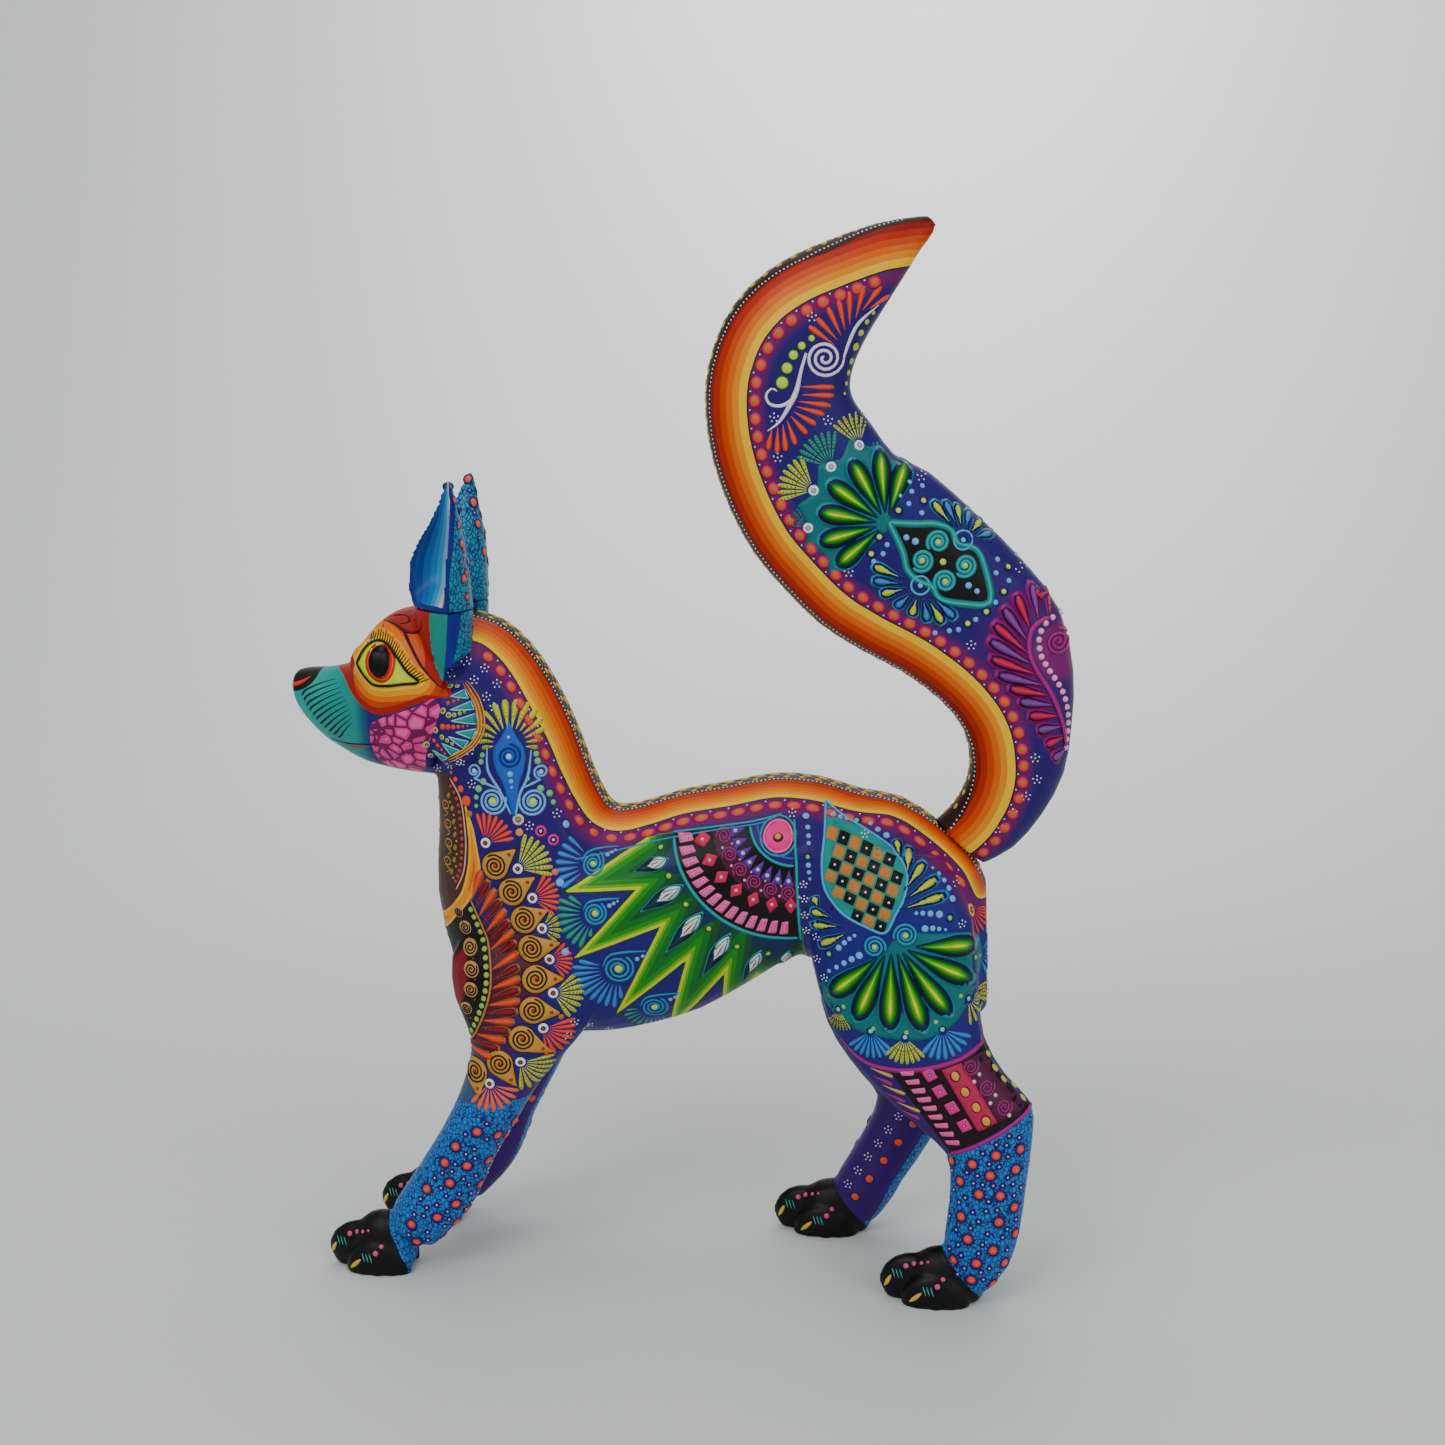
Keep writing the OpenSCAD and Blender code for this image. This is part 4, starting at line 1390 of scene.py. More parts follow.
def paint_neck(p):
    """Blossoms, and the blue teardrop with its lime fan, scrolls and spirals."""
    for x, z in (
        (-82, 257), (-88, 252), (-75, 254), (-79, 249.5), (-70, 248), (-74, 243), (-80, 222), (-85, 217.5),
        (-80, 208), (-56, 192.5), (-45.5, 197), (-71, 239),
    ):
        p.flower(x, z, 1.5)
    p.fan(-64.5, 224.5, 188, -196, 14, 6.4, 17.5, LIME, LIME_DARK,
        swell=lambda t: 0.63 + 0.37 * math.sin(math.pi * t))
    tear = smooth_line([
        (-65, 234), (-67.5, 228), (-71, 222), (-70, 215), (-66.5, 208), (-63, 197), (-61.5, 197),
        (-60.5, 208), (-58.5, 215), (-58.3, 222), (-62, 228), (-65, 234),
    ], 3)
    p.area(tear, "1C58B4", 0)
    p.spiral(-64.6, 219.8, 4.9, 2.5, 0.42, "0C2A78", 2, 90, 1)
    p.dot(-64.6, 219.8, 1.35, ICE, 3)
    p.dot(-64.9, 227.3, 0.7, ICE, 2)
    p.dots([(-64, 212.8), (-63.6, 210), (-63.3, 207.6)], (1.25, 0.95, 0.7), PALE_BLUE, 2)
    p.stroke(smooth_line([(-73.5, 223), (-73, 214), (-68, 206), (-63.5, 197)]), [0.3, 0.6, 0.6, 0.4],
        PALE_BLUE, 1)
    p.stroke(smooth_line([(-56, 222), (-57, 212), (-60, 205), (-61.5, 197)]), [0.3, 0.6, 0.6, 0.4],
        PALE_BLUE, 1)
    ringed_spiral(p, -71, 202, 5.6, PALE_BLUE, LIME_DOT, 20, 1, 2.7, 0.55)
    ringed_spiral(p, -54.8, 202, 5.6, PALE_BLUE, LIME_DOT, 160, -1, 2.7, 0.55)
    for x, tail in ((-79, (-67.5, 206.5)), (-52, (-58.5, 207.5))):
        p.spiral(x, 213.5, 2.9, 1.3, 0.5, PALE_BLUE, 1, 270, -1 if x < -60 else 1, 0.45)
        p.dot(x, 213.5, 0.95, ICE, 2)
        p.stroke(smooth_line([(x, 210.6), between((x, 210.6), tail, 0.5), tail]), [0.45, 0.55, 0.3],
            PALE_BLUE, 1)
    for x, z, r in (
        (-75.5, 220, 1.1), (-76, 217.3, 1.2), (-75, 209.5, 1.4), (-77, 206.5, 1.5), (-78, 203, 1.1),
        (-78, 199.5, 0.9), (-54, 220.5, 1.2), (-53.4, 217.7, 1.4), (-52, 207, 1.5), (-48.5, 205, 1.4),
        (-47, 201.5, 1.1), (-57, 211, 0.9),
    ):
        p.dot(x, z, r, MINT, 1)
    p.dots([(-89.5, 211.5), (-87.5, 209), (-85, 205.5), (-82.5, 201)], (0.8, 1.1, 1.5, 2.2), CORAL)
    p.dot(-81, 196, 1.4, COPPER)
    p.eye_dot(-60.5, 195, 2.3, "C9C6B8", "7A6A4A", "9A8A68")
    p.dot(-60, 190, 1.6, "D88A5A")
    for x, z in ((-51.5, 190.5), (-46.5, 187)):
        p.eye_dot(x, z, 2.3, "D01E8C", INK, ICE)
    p.dot(-42, 192.5, 1.6, PALE_BLUE)
    p.dot(-43.5, 170.5, 1.7, PALE_BLUE)
    p.dot(-45.5, 174.5, 1.4, SALMON)
    p.dot(-41, 143, 1.6, PALE_BLUE)
    p.dot(-43, 116, 1.2, COPPER)
    p.flower(-38, 113, 1.4)
    p.flower(-41, 107, 1.4)


CHEST_SPIRALS = [
    ((-70, 176), (-60.5, 184)), ((-63, 166), (-52.5, 173)), ((-58, 155), (-47, 160)),
    ((-55, 143.5), (-41.5, 147)), ((-53, 131.5), (-40.5, 131.5)), ((-54, 119), (-42, 117.5)),
    ((-58.5, 107), (-45.5, 100)), ((-68, 96), (-61, 85)), ((-79, 91), (-77, 80)),
]
CHEST_FANS = [
    ((-74, 185), 108, 12, 12.0, CORAL), ((-60.5, 175.5), 78, -8, 14.0, LIME),
    ((-54.5, 164), 62, -35, 11.0, CORAL),
    ((-50.5, 152), 58, -42, 8.0, LIME), ((-47.5, 139.5), 48, -52, 9.5, CORAL),
    ((-46, 126), 40, -58, 12.0, LIME),
    ((-50, 111.5), 14, -86, 12.5, CORAL), ((-59.5, 97), 8, -92, 13.0, LIME),
    ((-72.5, 87), -16, -132, 12.0, SALMON),
]
LENS_INNER = smooth_line([
    (-80.6, 160.5), (-76.3, 151.5), (-73, 143), (-71.4, 134), (-71.6, 126), (-74, 117), (-78.5, 107),
    (-83, 101),
])
LENS_OUTER = smooth_line([
    (-76, 173), (-69.5, 165.5), (-64.5, 155), (-61.2, 143.5), (-59.6, 131), (-60.2, 119.5),
    (-64.5, 108), (-71, 98),
])


def paint_rays(p):
    """Red and orange rays round the lens."""
    rays = 19
    inner, outer = resampled(LENS_INNER, 0.5), resampled(LENS_OUTER, 0.5)
    for k in range(rays):
        t = k / (rays - 1)
        a = tuple(inner[int(t * (len(inner) - 1))])
        b = tuple(outer[int(t * (len(outer) - 1))])
        petal_between(p, a, between(a, b, 1.04), 2.05, "A8683A", 0)
        petal_between(p, between(a, b, 0.05), between(a, b, 0.97), 1.5, "7A1224" if k % 2 else "E84A20", 2)
        if k % 2:
            for s in (0.25, 0.4, 0.55, 0.7, 0.82):
                p.dot(*between(a, b, s), 0.3, "D8808A", 4, 0.1)


def paint_chest_spirals(p):
    """Golden teardrops with spirals, and the fans between them."""
    for (x, z), tip in CHEST_SPIRALS:
        turn = math.degrees(math.atan2(tip[1] - z, tip[0] - x))
        p.area(arc_points((x, z), 6.0, turn + 50, 260, 20) + [tip], "3A1408", 0)
        p.area(arc_points((x, z), 5.5, turn + 50, 260, 20) + [between((x, z), tip, 0.93)], "C48E34", 1)
        p.spiral(x, z, 4.7, 2.6, 0.36, "1C0A06", 3, turn + 90, 1, 0.14)
        p.dot(x, z, 0.8, "A83018", 4)
        p.dot(*between((x, z), tip, 0.62), 0.85, BRICK, 3)
    for (x, z), start, end, reach, code in CHEST_FANS:
        count = 6 if reach < 9 else 8
        p.fan(x, z, start, end - start, count, 2.6, reach, code, LIME_DARK if code == LIME else None)
        p.eye_dot(x, z, 2.1, WHITE, "5A2A1A", "A0603A", 2)


def paint_lens(p):
    p.stroke(LENS_INNER, 0.5, "A8783C", 3)
    for x, z, r in ((-87, 154.5, 1.9), (-84, 148.5, 2.4), (-81.2, 141.5, 2.7), (-80, 133.5, 2.8),
            (-80.2, 125.3, 2.6), (-82.5, 117, 2.2)):
        p.area(arc_points((x, z), 1.2 * r, 0, 340, 18), "C0904E", 0)
        p.spiral(x, z, r, 2.2, 0.34, INK, 2, 40, 1, 0.1)
        p.dot(x + 1.9, z - 3.8, 0.5, BRICK, 1)
    for x, z in resampled(offset_line(LENS_INNER, 2.1), 3.3)[1:-1]:
        p.dot(x, z, 1.2, "9CB84A", 0)


def paint_panel(p):
    """Rows of drops and rings inside the border of the brown breast panel."""
    edge = smooth_line([(-90, 209), (-85, 201.5), (-83, 190), (-82.6, 181.6), (-83.8, 171.8), (-87.5, 164)])
    p.stroke(edge, 0.4, "D0A090", 2)
    for x, z in resampled(offset_line(edge, 1.9), 2.7)[1:-1]:
        p.dot(x, z, 0.85, "B8344A")
    for x, z in resampled(offset_line(edge, 5.2), 5.0)[1:-1]:
        p.dot(x, z, 0.95, "8E7A2A", 0, None, 1.4, 70)
        p.dot(x + 0.8, z - 2.5, 0.6, "B0904A")
    for x, z in resampled(offset_line(edge, 8.5), 7.0)[1:-1]:
        p.ring(x, z, 1.7, 0.36, OLD_GOLD, 0)
        p.dot(x, z, 0.7, "A83A3A", 0)
        p.stroke(smooth_line([(x - 1, z - 1.8), (x + 1.2, z - 3.2), (x - 0.6, z - 4.8)]), [0.2, 0.4, 0.2],
            OLD_GOLD)


def paint_chest_front(p, rng):
    """The breast between the two sides, seen from the front."""
    for k in range(60):
        y, z = rng.uniform(-11, 11), rng.uniform(101, 146)
        p.dot(y, z, rng.uniform(0.5, 1.0), ("7A1620", "9A2A2A", "5A0E1A")[k % 3], 0, 0.2, 1.5,
            rng.uniform(0, 180))
    for y in (-9, 0, 9):
        p.spiral(y, 192 - abs(y) * 0.4, 2.8, 1.4, 0.4, OLD_GOLD, 0, 90 + y * 10, 1 if y < 0 else -1, 0.3)
        p.stroke(smooth_line([(y, 189), (y + 1.5, 181), (y - 1.5, 174), (y, 167)]), [0.3, 0.5, 0.5, 0.25],
            OLD_GOLD)
        for z in (198, 184, 176):
            p.dot(y + 2.6, z, 0.95, "B4B03A", 0, None, 1.3, 60)
            p.dot(y - 2.8, z - 3, 0.8, "A84A4A")


def paint_thigh_leaf(p):
    """The chequered leaf and the petals that sprout beside it."""
    p.stroke(THIGH_LEAF, 0.55, "48A4DC", 2)
    row, column = (4.6, -1.75), (-1.5, -4.6)
    for m in range(-8, 9):
        for n in range(-2, 11):
            x = 59.5 + m * row[0] + n * column[0]
            z = 193 + m * row[1] + n * column[1]
            if shape_distance(np.array([[x, z]]), THIGH_LEAF)[0] > -2.4:
                continue
            black = (m + n) % 2 == 0
            cell = [
                (x + 0.43 * (a * row[0] + b * column[0]), z + 0.43 * (a * row[1] + b * column[1]))
                for a, b in ((-1, -1), (1, -1), (1, 1), (-1, 1))
            ]
            p.area(cell, INK if black else "B87A34", 0)
            p.dot(x, z, 0.55 if black else 0.8, WHITE if black else "D8742A", 1)
    for root, tip in (
        ((91, 183), (89.5, 188)), ((94, 177), (94.5, 185)), ((93, 171.5), (100, 180.5)),
        ((93, 168), (105, 175)), ((91, 164.5), (108, 169)), ((59.5, 163), (57.5, 167)),
        ((65, 159), (57, 161)), ((69, 156.5), (57.5, 155)), ((72, 154.5), (61, 148)),
    ):
        outlined_petal(p, root, tip, 1.35, "3A88D0", NAVY, LIME, 1, LIME_DARK)
    ringed_spiral(p, 94, 154.5, 4.7, STEEL, LIME_DOT, 200, 1, 2.5, 0.55, 6)
    ringed_spiral(p, 82, 149.5, 4.4, STEEL, LIME_DOT, 340, -1, 2.4, 0.55, 6)


def paint_lotus(p):
    """The green lotus, the fans round it and the rows of drops beside it."""
    p.area(smooth_line([
        (92, 156), (104, 155), (117, 154), (123, 149), (124, 137), (119, 126), (113, 117.5), (102, 112.5),
        (88, 112.5), (74, 115), (63, 123), (60, 131), (72, 138), (84, 146), (92, 156),
    ], 3), LOTUS_GROUND, 0)
    for root, tip in (
        ((98, 150), (120, 149)), ((95, 148.5), (118.5, 136)), ((93, 147.5), (110.5, 124)),
        ((91, 147), (101, 118.5)), ((88.5, 147), (88.5, 118.5)), ((86, 146.5), (76, 121)),
        ((83, 145), (66, 129)),
    ):
        lotus_petal(p, root, tip, 3.3)
    for x, z in ((121.5, 143), (116, 129), (106.5, 119.5), (95, 115.3), (82, 116), (70, 123.5)):
        p.dot(x, z, 0.95, "8CC85A", 2)
    for (x, z), start, end, outer, code in (
        ((68, 122), -58, -122, 9.0, LIME), ((81, 115), -42, -138, 11.5, SKY),
        ((94.5, 113.5), -46, -134, 11.0, LIME),
        ((109, 116.5), -20, -128, 12.0, SKY), ((119, 127.5), 12, -84, 10.5, LIME),
        ((123, 142), 55, -70, 9.5, SKY),
        ((119.5, 161), -8, -84, 10.5, CORAL),
    ):
        p.fan(x, z, start, end - start, 8, 2.4, outer, code, LIME_DARK if code == LIME else None, 1)
        if code == CORAL:
            p.eye_dot(x, z, 2.7, "E8B24A", "7A2A14", "F0702A", 2)
        else:
            p.eye_dot(x, z, 1.75, NAVY, "7CC4DC", ICE, 2)
    for line, radii in (
        ([(64, 197.5), (67, 196.5), (69.5, 195.7)], (1.3, 0.8)),
        ([(79, 194), (82, 192), (85.5, 190)], (1.0, 1.4)),
        ([(104, 179), (106.5, 176.8), (108.6, 174.3), (110.5, 171.3), (112, 167.5)], (0.7, 1.4)),
        ([(98, 163), (100.5, 163), (103.5, 162.7), (107, 162.2)], (0.8, 1.5)),
        ([(101.5, 157), (104.5, 157), (107, 156.6), (109.5, 156.2)], (1.4, 0.7)),
        ([(74, 153.3), (72, 151.8), (70, 150), (67.8, 147.7)], (0.8, 1.3)),
        ([(76, 145.5), (73, 143.7), (70, 141.7), (67, 139.6), (64, 137.4)], (1.5, 0.9)),
    ):
        p.dots(line, radii, PALE_BLUE, 1)
    for x, z in ((73.5, 195), (111, 160.5), (64, 144.6)):
        p.eye_dot(x, z, 1.9, NAVY, MINT, PALE_MINT, 2)
    for x, z in ((77, 190.6), (113.5, 172.5), (116, 157.5), (62, 134), (59, 141), (58.5, 150)):
        p.flower(x, z, 1.3)


def paint_knee(p):
    """The slanting strips of the knee band: blocks, diamonds, ovals, spirals and drops."""
    for strip, code in (
        ([(109, 100.5), (117, 103), (131.5, 80), (124, 76)], "B0204E"),
        ([(117, 103), (125.5, 106), (142.5, 84.5), (131.5, 80)], "4E1238"),
        ([(125.5, 106), (133, 109), (150, 88), (142.5, 84.5)], "3E1466"),
    ):
        p.area(strip, code, 0)
    p.stroke(smooth_line([(69, 109), (78, 101.5), (90, 99.5), (104, 101), (118, 105), (130, 112)]),
        [0.6, 1.1, 1.1, 0.8], MAGENTA, 1)
    p.stroke(smooth_line([(113.5, 65.2), (125, 71.2), (137, 78.5), (150, 87.5)]), 0.85, MAGENTA, 2)
    for k in range(9):
        x, z = between((95.5, 98.8), (114, 70.5), k / 8)
        block = [(x - 2.9, z + 0.3), (x + 2.6, z + 1.5), (x + 2.9, z - 0.7), (x - 1.8, z - 1.3)]
        p.area(block, PINK, 2)
        for across in (-1.2, 0.3, 1.7):
            p.dot(x + across, z + 0.1 + across * 0.2, 0.24, WINE_SPECK, 4, 0.1)
    for x, z in ((104.5, 98.5), (108.5, 92), (113.5, 85.5), (118.5, 78.5)):
        p.area([(x - 3.2, z + 1), (x + 0.6, z + 3), (x + 3.2, z - 1), (x - 0.6, z - 3)], "D42E80", 2)
        p.dot(x, z, 0.85, "5A1A6A", 4, 0.15)
        p.dot(x, z, 0.5, WHITE, 5)
    for x, z in ((114.5, 98), (118.5, 91.8), (123, 85.8), (127, 80.5)):
        p.dot(x, z, 2.1, "5A0A1A", 1, 0.12, 1.25, -60)
        p.dot(x, z, 1.75, "D8983C", 2, 0.2, 1.25, -60)
    for x, z in ((120.5, 101), (127, 93), (134, 85.5)):
        p.spiral(x, z, 3.2, 2.4, 0.42, "8E2468", 2, 30, 1, 0.1)
    for x, z in ((124, 98), (122, 95.5), (130.5, 90), (128.5, 87.3), (136, 82.5)):
        p.dot(x, z, 0.85, "E8B8D0", 2)
    for x, z in ((127.5, 104), (131, 99.4), (134.5, 95), (138, 91), (141.5, 87)):
        p.dot(x, z, 1.35, OLIVE, 2, 0.25, 1.3, -50)
    for x, z in ((84, 97), (89, 90), (95, 83)):
        petal_between(p, (x - 3, z + 2), (x + 6, z - 0.5), 0.9, "C8A84A", 1)
        petal_between(p, (x - 2, z - 1.5), (x + 6, z - 4), 1.0, MAGENTA, 1)


def scatter(p, rng, inside, box, big=1.75, small=1.05, tries=1400):
    """Coral drops with dark haloes and fine violet ones, spread evenly at random over an area."""
    kept = []
    for radius, gap, share in ((big, 4.4, 0.45), (small, 1.5, 1.0)):
        for _ in range(int(tries * share)):
            u, v = rng.uniform(box[0], box[1]), rng.uniform(box[2], box[3])
            if not inside(u, v):
                continue
            if all(math.dist((u, v), (a, b)) > radius + r + gap for a, b, r in kept):
                kept.append((u, v, radius))
    for u, v, radius in kept:
        reach, fine, gap = (2.9, 0.42, 30) if radius == big else (1.45, 0.3, 60)
        for turn in range(0, 360, gap):
            a = math.radians(turn)
            p.dot(u + reach * math.cos(a), v + reach * math.sin(a), fine, HALO, 0, 0.1)
        if radius == big:
            p.dot(u, v, 2.7, HALO, 0, 0.1)
            p.dot(u, v, 2.0, "B02450", 1, 0.12)
            p.dot(u, v, 1.65, "EC5030", 2, 0.3)
            p.dot(u, v, 0.6, "F08A60", 4, 0.3)
        else:
            p.dot(u, v, 1.35, HALO, 0, 0.12)
            p.dot(u, v, 0.5, "C8B4E8", 2)


def hind_shank(x, z):
    return 10 < z < 62 + 0.58 * (x - 114) and 113.5 < x < 141.5 - max(0,
        30 - z) * 0.5 and x > 109 + (26 - z) * 0.7


def fore_shank(x, z):
    axis = -74 - (60 - z) * 0.62
    return 12 < z < 68.5 + 0.22 * (x + 80) and abs(x - axis) < 13.5 and x > -118 + (30 - z) * 0.62


def paint_toes(p, front):
    """A claw, three short teal stripes and pink dots on the front toe and on the toe behind it."""
    for claw, stripes, drops in (
        ([(1.7, 5.4), (4.2, 10.4)], (4.6, 13.2),
            ((10.2, 14.8, 1.1), (13.4, 16, 1.0), (16.4, 17, 0.8), (19, 17.8, 0.65))),
        ([(12, 2.6), (16.6, 6.9)], (17.2, 9.4), ((23, 9.8, 1.15), (25.2, 12.4, 0.95))),
    ):
        p.stroke([(front + x, z) for x, z in claw], [0.3, 0.8, 0.95, 0.8, 0.3], "DCBC40", 1, 0.9)
        for j in range(3):
            x, z = front + stripes[0] + 1.55 * j, stripes[1]
            p.stroke([(x, z), (x + 1.2, z - 3.4)], [0.15, 0.3, 0.15], "3CB8AC", 0, 1.2)
        for x, z, r in drops:
            p.dot(front + x, z, r, "E04A84")


def paint_muzzle(p):
    """Whiskers by an even rule, the mouth and the nostril."""
    lows = resampled(smooth_line([(-152.2, 240.4), (-149.8, 235.6), (-146, 230.4), (-141.7, 226.4),
        (-137, 223.8)]), 0.2)
    highs = resampled(smooth_line([(-138, 247.4), (-133.4, 241.6), (-130, 236), (-129.4, 231)]), 0.2)
    for k in range(11):
        low, high = (tuple(edge[int(k / 10 * (len(edge) - 1))]) for edge in (lows, highs))
        bend = (low[0] + 1.4, low[1] + 2.0 - 0.12 * k)
        middle = between(bend, high, 0.45)
        p.stroke(smooth_line([low, bend, (middle[0], middle[1] + 0.5), high]),
            [0.55, 0.5, 0.34, 0.26, 0.12], "04201F", 0, 1.0)
    p.stroke(smooth_line([(-141, 222.6), (-134, 221.4), (-126, 221.8), (-119, 222.4)]),
        [0.2, 0.45, 0.45, 0.2], INK, 0)
    p.stroke(smooth_line([(-136, 220.3), (-129, 220.2), (-123, 221)]), [0.2, 0.8, 0.2], "9A4A34", 0)
    p.stroke(smooth_line([(-157.5, 243.8), (-153, 245.4), (-149.3, 247.6)]), [1.1, 1.0, 0.3], "D83A1C", 0)


def paint_eye(p):
    """The iris, the lashes and the brow lines."""
    p.area(arc_points(IRIS, 6.3, 90, 350, 34, 1.27), "D2280E", 0)
    p.area(arc_points(IRIS, 5.3, 90, 350, 30, 1.33), "F4683C", 1)
    p.area(arc_points(IRIS, 4.9, 90, 350, 30, 1.36), "C41E0C", 2)
    p.area(arc_points((IRIS[0] - 0.4, IRIS[1] + 0.3), 4.3, 90, 350, 30, 1.42), "020202", 4)
    p.stroke(EYE, 0.55, INK, 5)
    top = resampled(smooth_line([(-121.5, 263), (-117, 264.9), (-112, 262.8), (-108, 258.3), (-104, 253.7),
        (-99, 249.6)]), 1.15)
    for k, (x, z) in enumerate(top):
        a = math.radians(112 - 92 * k / (len(top) - 1))
        size = 3.3 + 0.5 * math.sin(k * 2.3)
        p.stroke([(x, z), (x + size * math.cos(a), z + size * math.sin(a))], [0.26, 0.2, 0.08], INK, 2, 0.9)
    for line, widths in (
        ([(-119, 271.5), (-112, 270.8), (-107.5, 268.8), (-103, 268), (-99.5, 270), (-99, 273.5)],
            [0.2, 0.5, 0.6, 0.5, 0.2]),
        ([(-109.5, 271), (-106.8, 271.3), (-106, 272.6), (-108.5, 273.8), (-114, 273.2)],
            [0.2, 0.45, 0.4, 0.15]),
        ([(-107.5, 268.8), (-103.5, 263), (-99, 256), (-94.5, 250.5), (-90.5, 246.3)],
            [0.45, 0.6, 0.5, 0.3, 0.15]),
    ):
        p.stroke(smooth_line(line), widths, "3A0A08", 1)


def paint_ruff(p):
    """Teal wedges, rows of drops and the copper arc behind the cheek."""
    for a, b, c in (
        ((-87.5, 243.7), (-82.3, 246.2), (-80.3, 243)), ((-87.3, 238.7), (-79.3, 242), (-78, 238.8)),
        ((-86.7, 234.5), (-77.3, 237.2), (-76.3, 233)), ((-85, 230), (-76.8, 231.3), (-78.6, 227.3)),
        ((-88, 228.2), (-80, 226.3), (-82.3, 223.4)), ((-91, 225.2), (-83.6, 222.4), (-87.4, 220.2)),
        ((-96, 221.2), (-89, 218.8), (-92.5, 216.8)),
    ):
        p.area([a, b, c], DEEP_TEAL, 0)
        for q, r in ((a, b), (b, c), (c, a)):
            p.stroke([q, r], 0.24, "8ADCD6", 1)
    for line, radii in (
        ([(-88.3, 241.3), (-86, 242), (-84.2, 242.6)], (0.9, 0.6)),
        ([(-90.3, 232), (-88, 232), (-85.8, 232.1), (-83.8, 232.3), (-82, 232.4), (-80.2, 232.5)],
            (1.3, 0.5)),
        ([(-94.5, 225.8), (-93, 223.9), (-91.4, 222.3), (-90, 220.8)], (1.0, 0.6)),
    ):
        p.dots(line, radii, "E0452E", 1)
    for x, z, r in (
        (-88.5, 247, 1.3), (-85.5, 247.3, 1.0), (-90.3, 238.2, 1.3), (-87.8, 236.7, 1.2),
        (-85.5, 236.9, 0.9), (-83.3, 237.5, 0.8), (-81.4, 238, 0.7), (-93.6, 230.2, 1.3),
        (-90.8, 227.7, 1.1), (-88.6, 226.5, 0.9), (-86.6, 225.2, 0.8), (-98, 223.8, 1.4),
        (-97.2, 218.6, 1.2), (-94, 219.5, 0.8),
    ):
        p.eye_dot(x, z, r, "B8C85A", "1A2A1A", "B8C85A", 1)
    arc = smooth_line([(-82.5, 248.5), (-77, 241), (-75.3, 232), (-78, 225.5), (-83.5, 221), (-89, 218)])
    p.stroke(arc, [0.5, 1.9, 2.2, 1.3, 0.4], "A85A26", 0)
    for t in (-1.0, 0.0, 1.0):
        p.stroke(offset_line(arc, t), [0.1, 0.3, 0.35, 0.3, 0.1], "E0A050", 3)
    for x, z in ((-84, 217), (-90, 214.5), (-96, 212)):
        p.flower(x, z, 1.4)


def paint_tail_tip(p):
    """Coral fans, white scrolls and lime drops near the tip."""
    for root, tip in (
        ((62.5, 381), (53, 388)), ((63.5, 383), (56, 391)), ((65, 384.5), (60, 395)),
        ((66.5, 386.5), (64, 398)), ((68.3, 388.5), (68, 401)), ((70.5, 391), (73.5, 403)),
        ((73, 394), (80, 403)), ((75.5, 394.5), (83, 399.5)),
    ):
        petal_between(p, root, tip, 1.25, CORAL, 0)
    for root, tip in (
        ((50, 365.3), (62.5, 365)), ((50.5, 362.3), (62.5, 361.8)), ((49.3, 359.8), (61.5, 358)),
        ((48.6, 357.8), (59, 354.8)), ((47.6, 355.8), (56, 351)), ((46.4, 354.2), (52.6, 347.5)),
        ((45, 352.6), (48.3, 343.5)), ((43.4, 351), (44.6, 341)), ((41.4, 350), (41.2, 340)),
        ((39.2, 349), (37.6, 341.5)),
    ):
        petal_between(p, root, tip, 1.2, CORAL, 0)
    p.spiral(59, 376, 7.2, 2.7, 0.62, WHITE, 1, 0, 1, 0.1)
    p.stroke(smooth_line([(66, 376), (68, 382), (71.5, 389), (79, 396)]), [0.6, 0.85, 0.7, 0.2], WHITE, 1)
    p.stroke(smooth_line([(52, 378), (50, 371), (48.5, 364), (46, 358.5), (42, 352), (37.5, 348.5)]),
        [0.5, 0.7, 1.1, 0.7, 0.2], WHITE, 1)
    p.stroke(smooth_line([(48, 362), (43.5, 358.3), (38.5, 358.6), (36.8, 362), (39, 364.6), (41, 363.6)]),
        [0.3, 0.7, 0.6, 0.5, 0.3], WHITE, 1)
    p.dots([(54, 383.5), (50.3, 380.7), (47.2, 377.2), (44.8, 372.3), (43, 366.8)], (1.2, 2.3), LIME_DOT,
        0, LEAF_DARK)
    for line, radii in (
        ([(77, 393), (74.6, 389.6), (72.4, 385.4), (70.4, 380.2)], (0.9, 1.7)),
        ([(68.8, 374.7), (67.7, 370.3), (66.9, 366.2), (66.4, 362.4)], (1.4, 0.7)),
    ):
        p.dots(line, radii, OLIVE, 0, NAVY)


def paint_tail_lotus(p):
    """The green lotus of the tail and the small fans over it."""
    for (x, z), start, end, outer, code, count in (
        ((72.5, 343), 142, 76, 12.5, LIME, 7), ((62, 335), 164, 84, 13.5, SEA, 8),
        ((55.5, 326), 196, 112, 14.0, LIME, 8),
        ((53.5, 311.5), 172, 122, 8.5, SEA, 5),
    ):
        p.fan(x, z, start, end - start, count, 2.6, outer, code, LIME_DARK)
        p.eye_dot(x, z, 2.1, WHITE, "8A8E96", WHITE, 2)
    p.area([
        (84, 322), (94, 338), (88, 341), (83, 348), (77, 342), (69, 346), (66, 338), (57, 336),
        (57, 326), (49, 320), (54, 312), (52, 303), (60, 302), (62, 293), (70, 297), (80, 307),
        (86, 313),
    ], LOTUS_GROUND, 0)
    for tip in ((90, 335), (80.5, 339.5), (70.5, 336), (62.5, 328), (59, 317.5), (59.5, 306.5), (66, 298)):
        lotus_petal(p, between((83.5, 313.5), tip, 0.16), tip, 2.8)


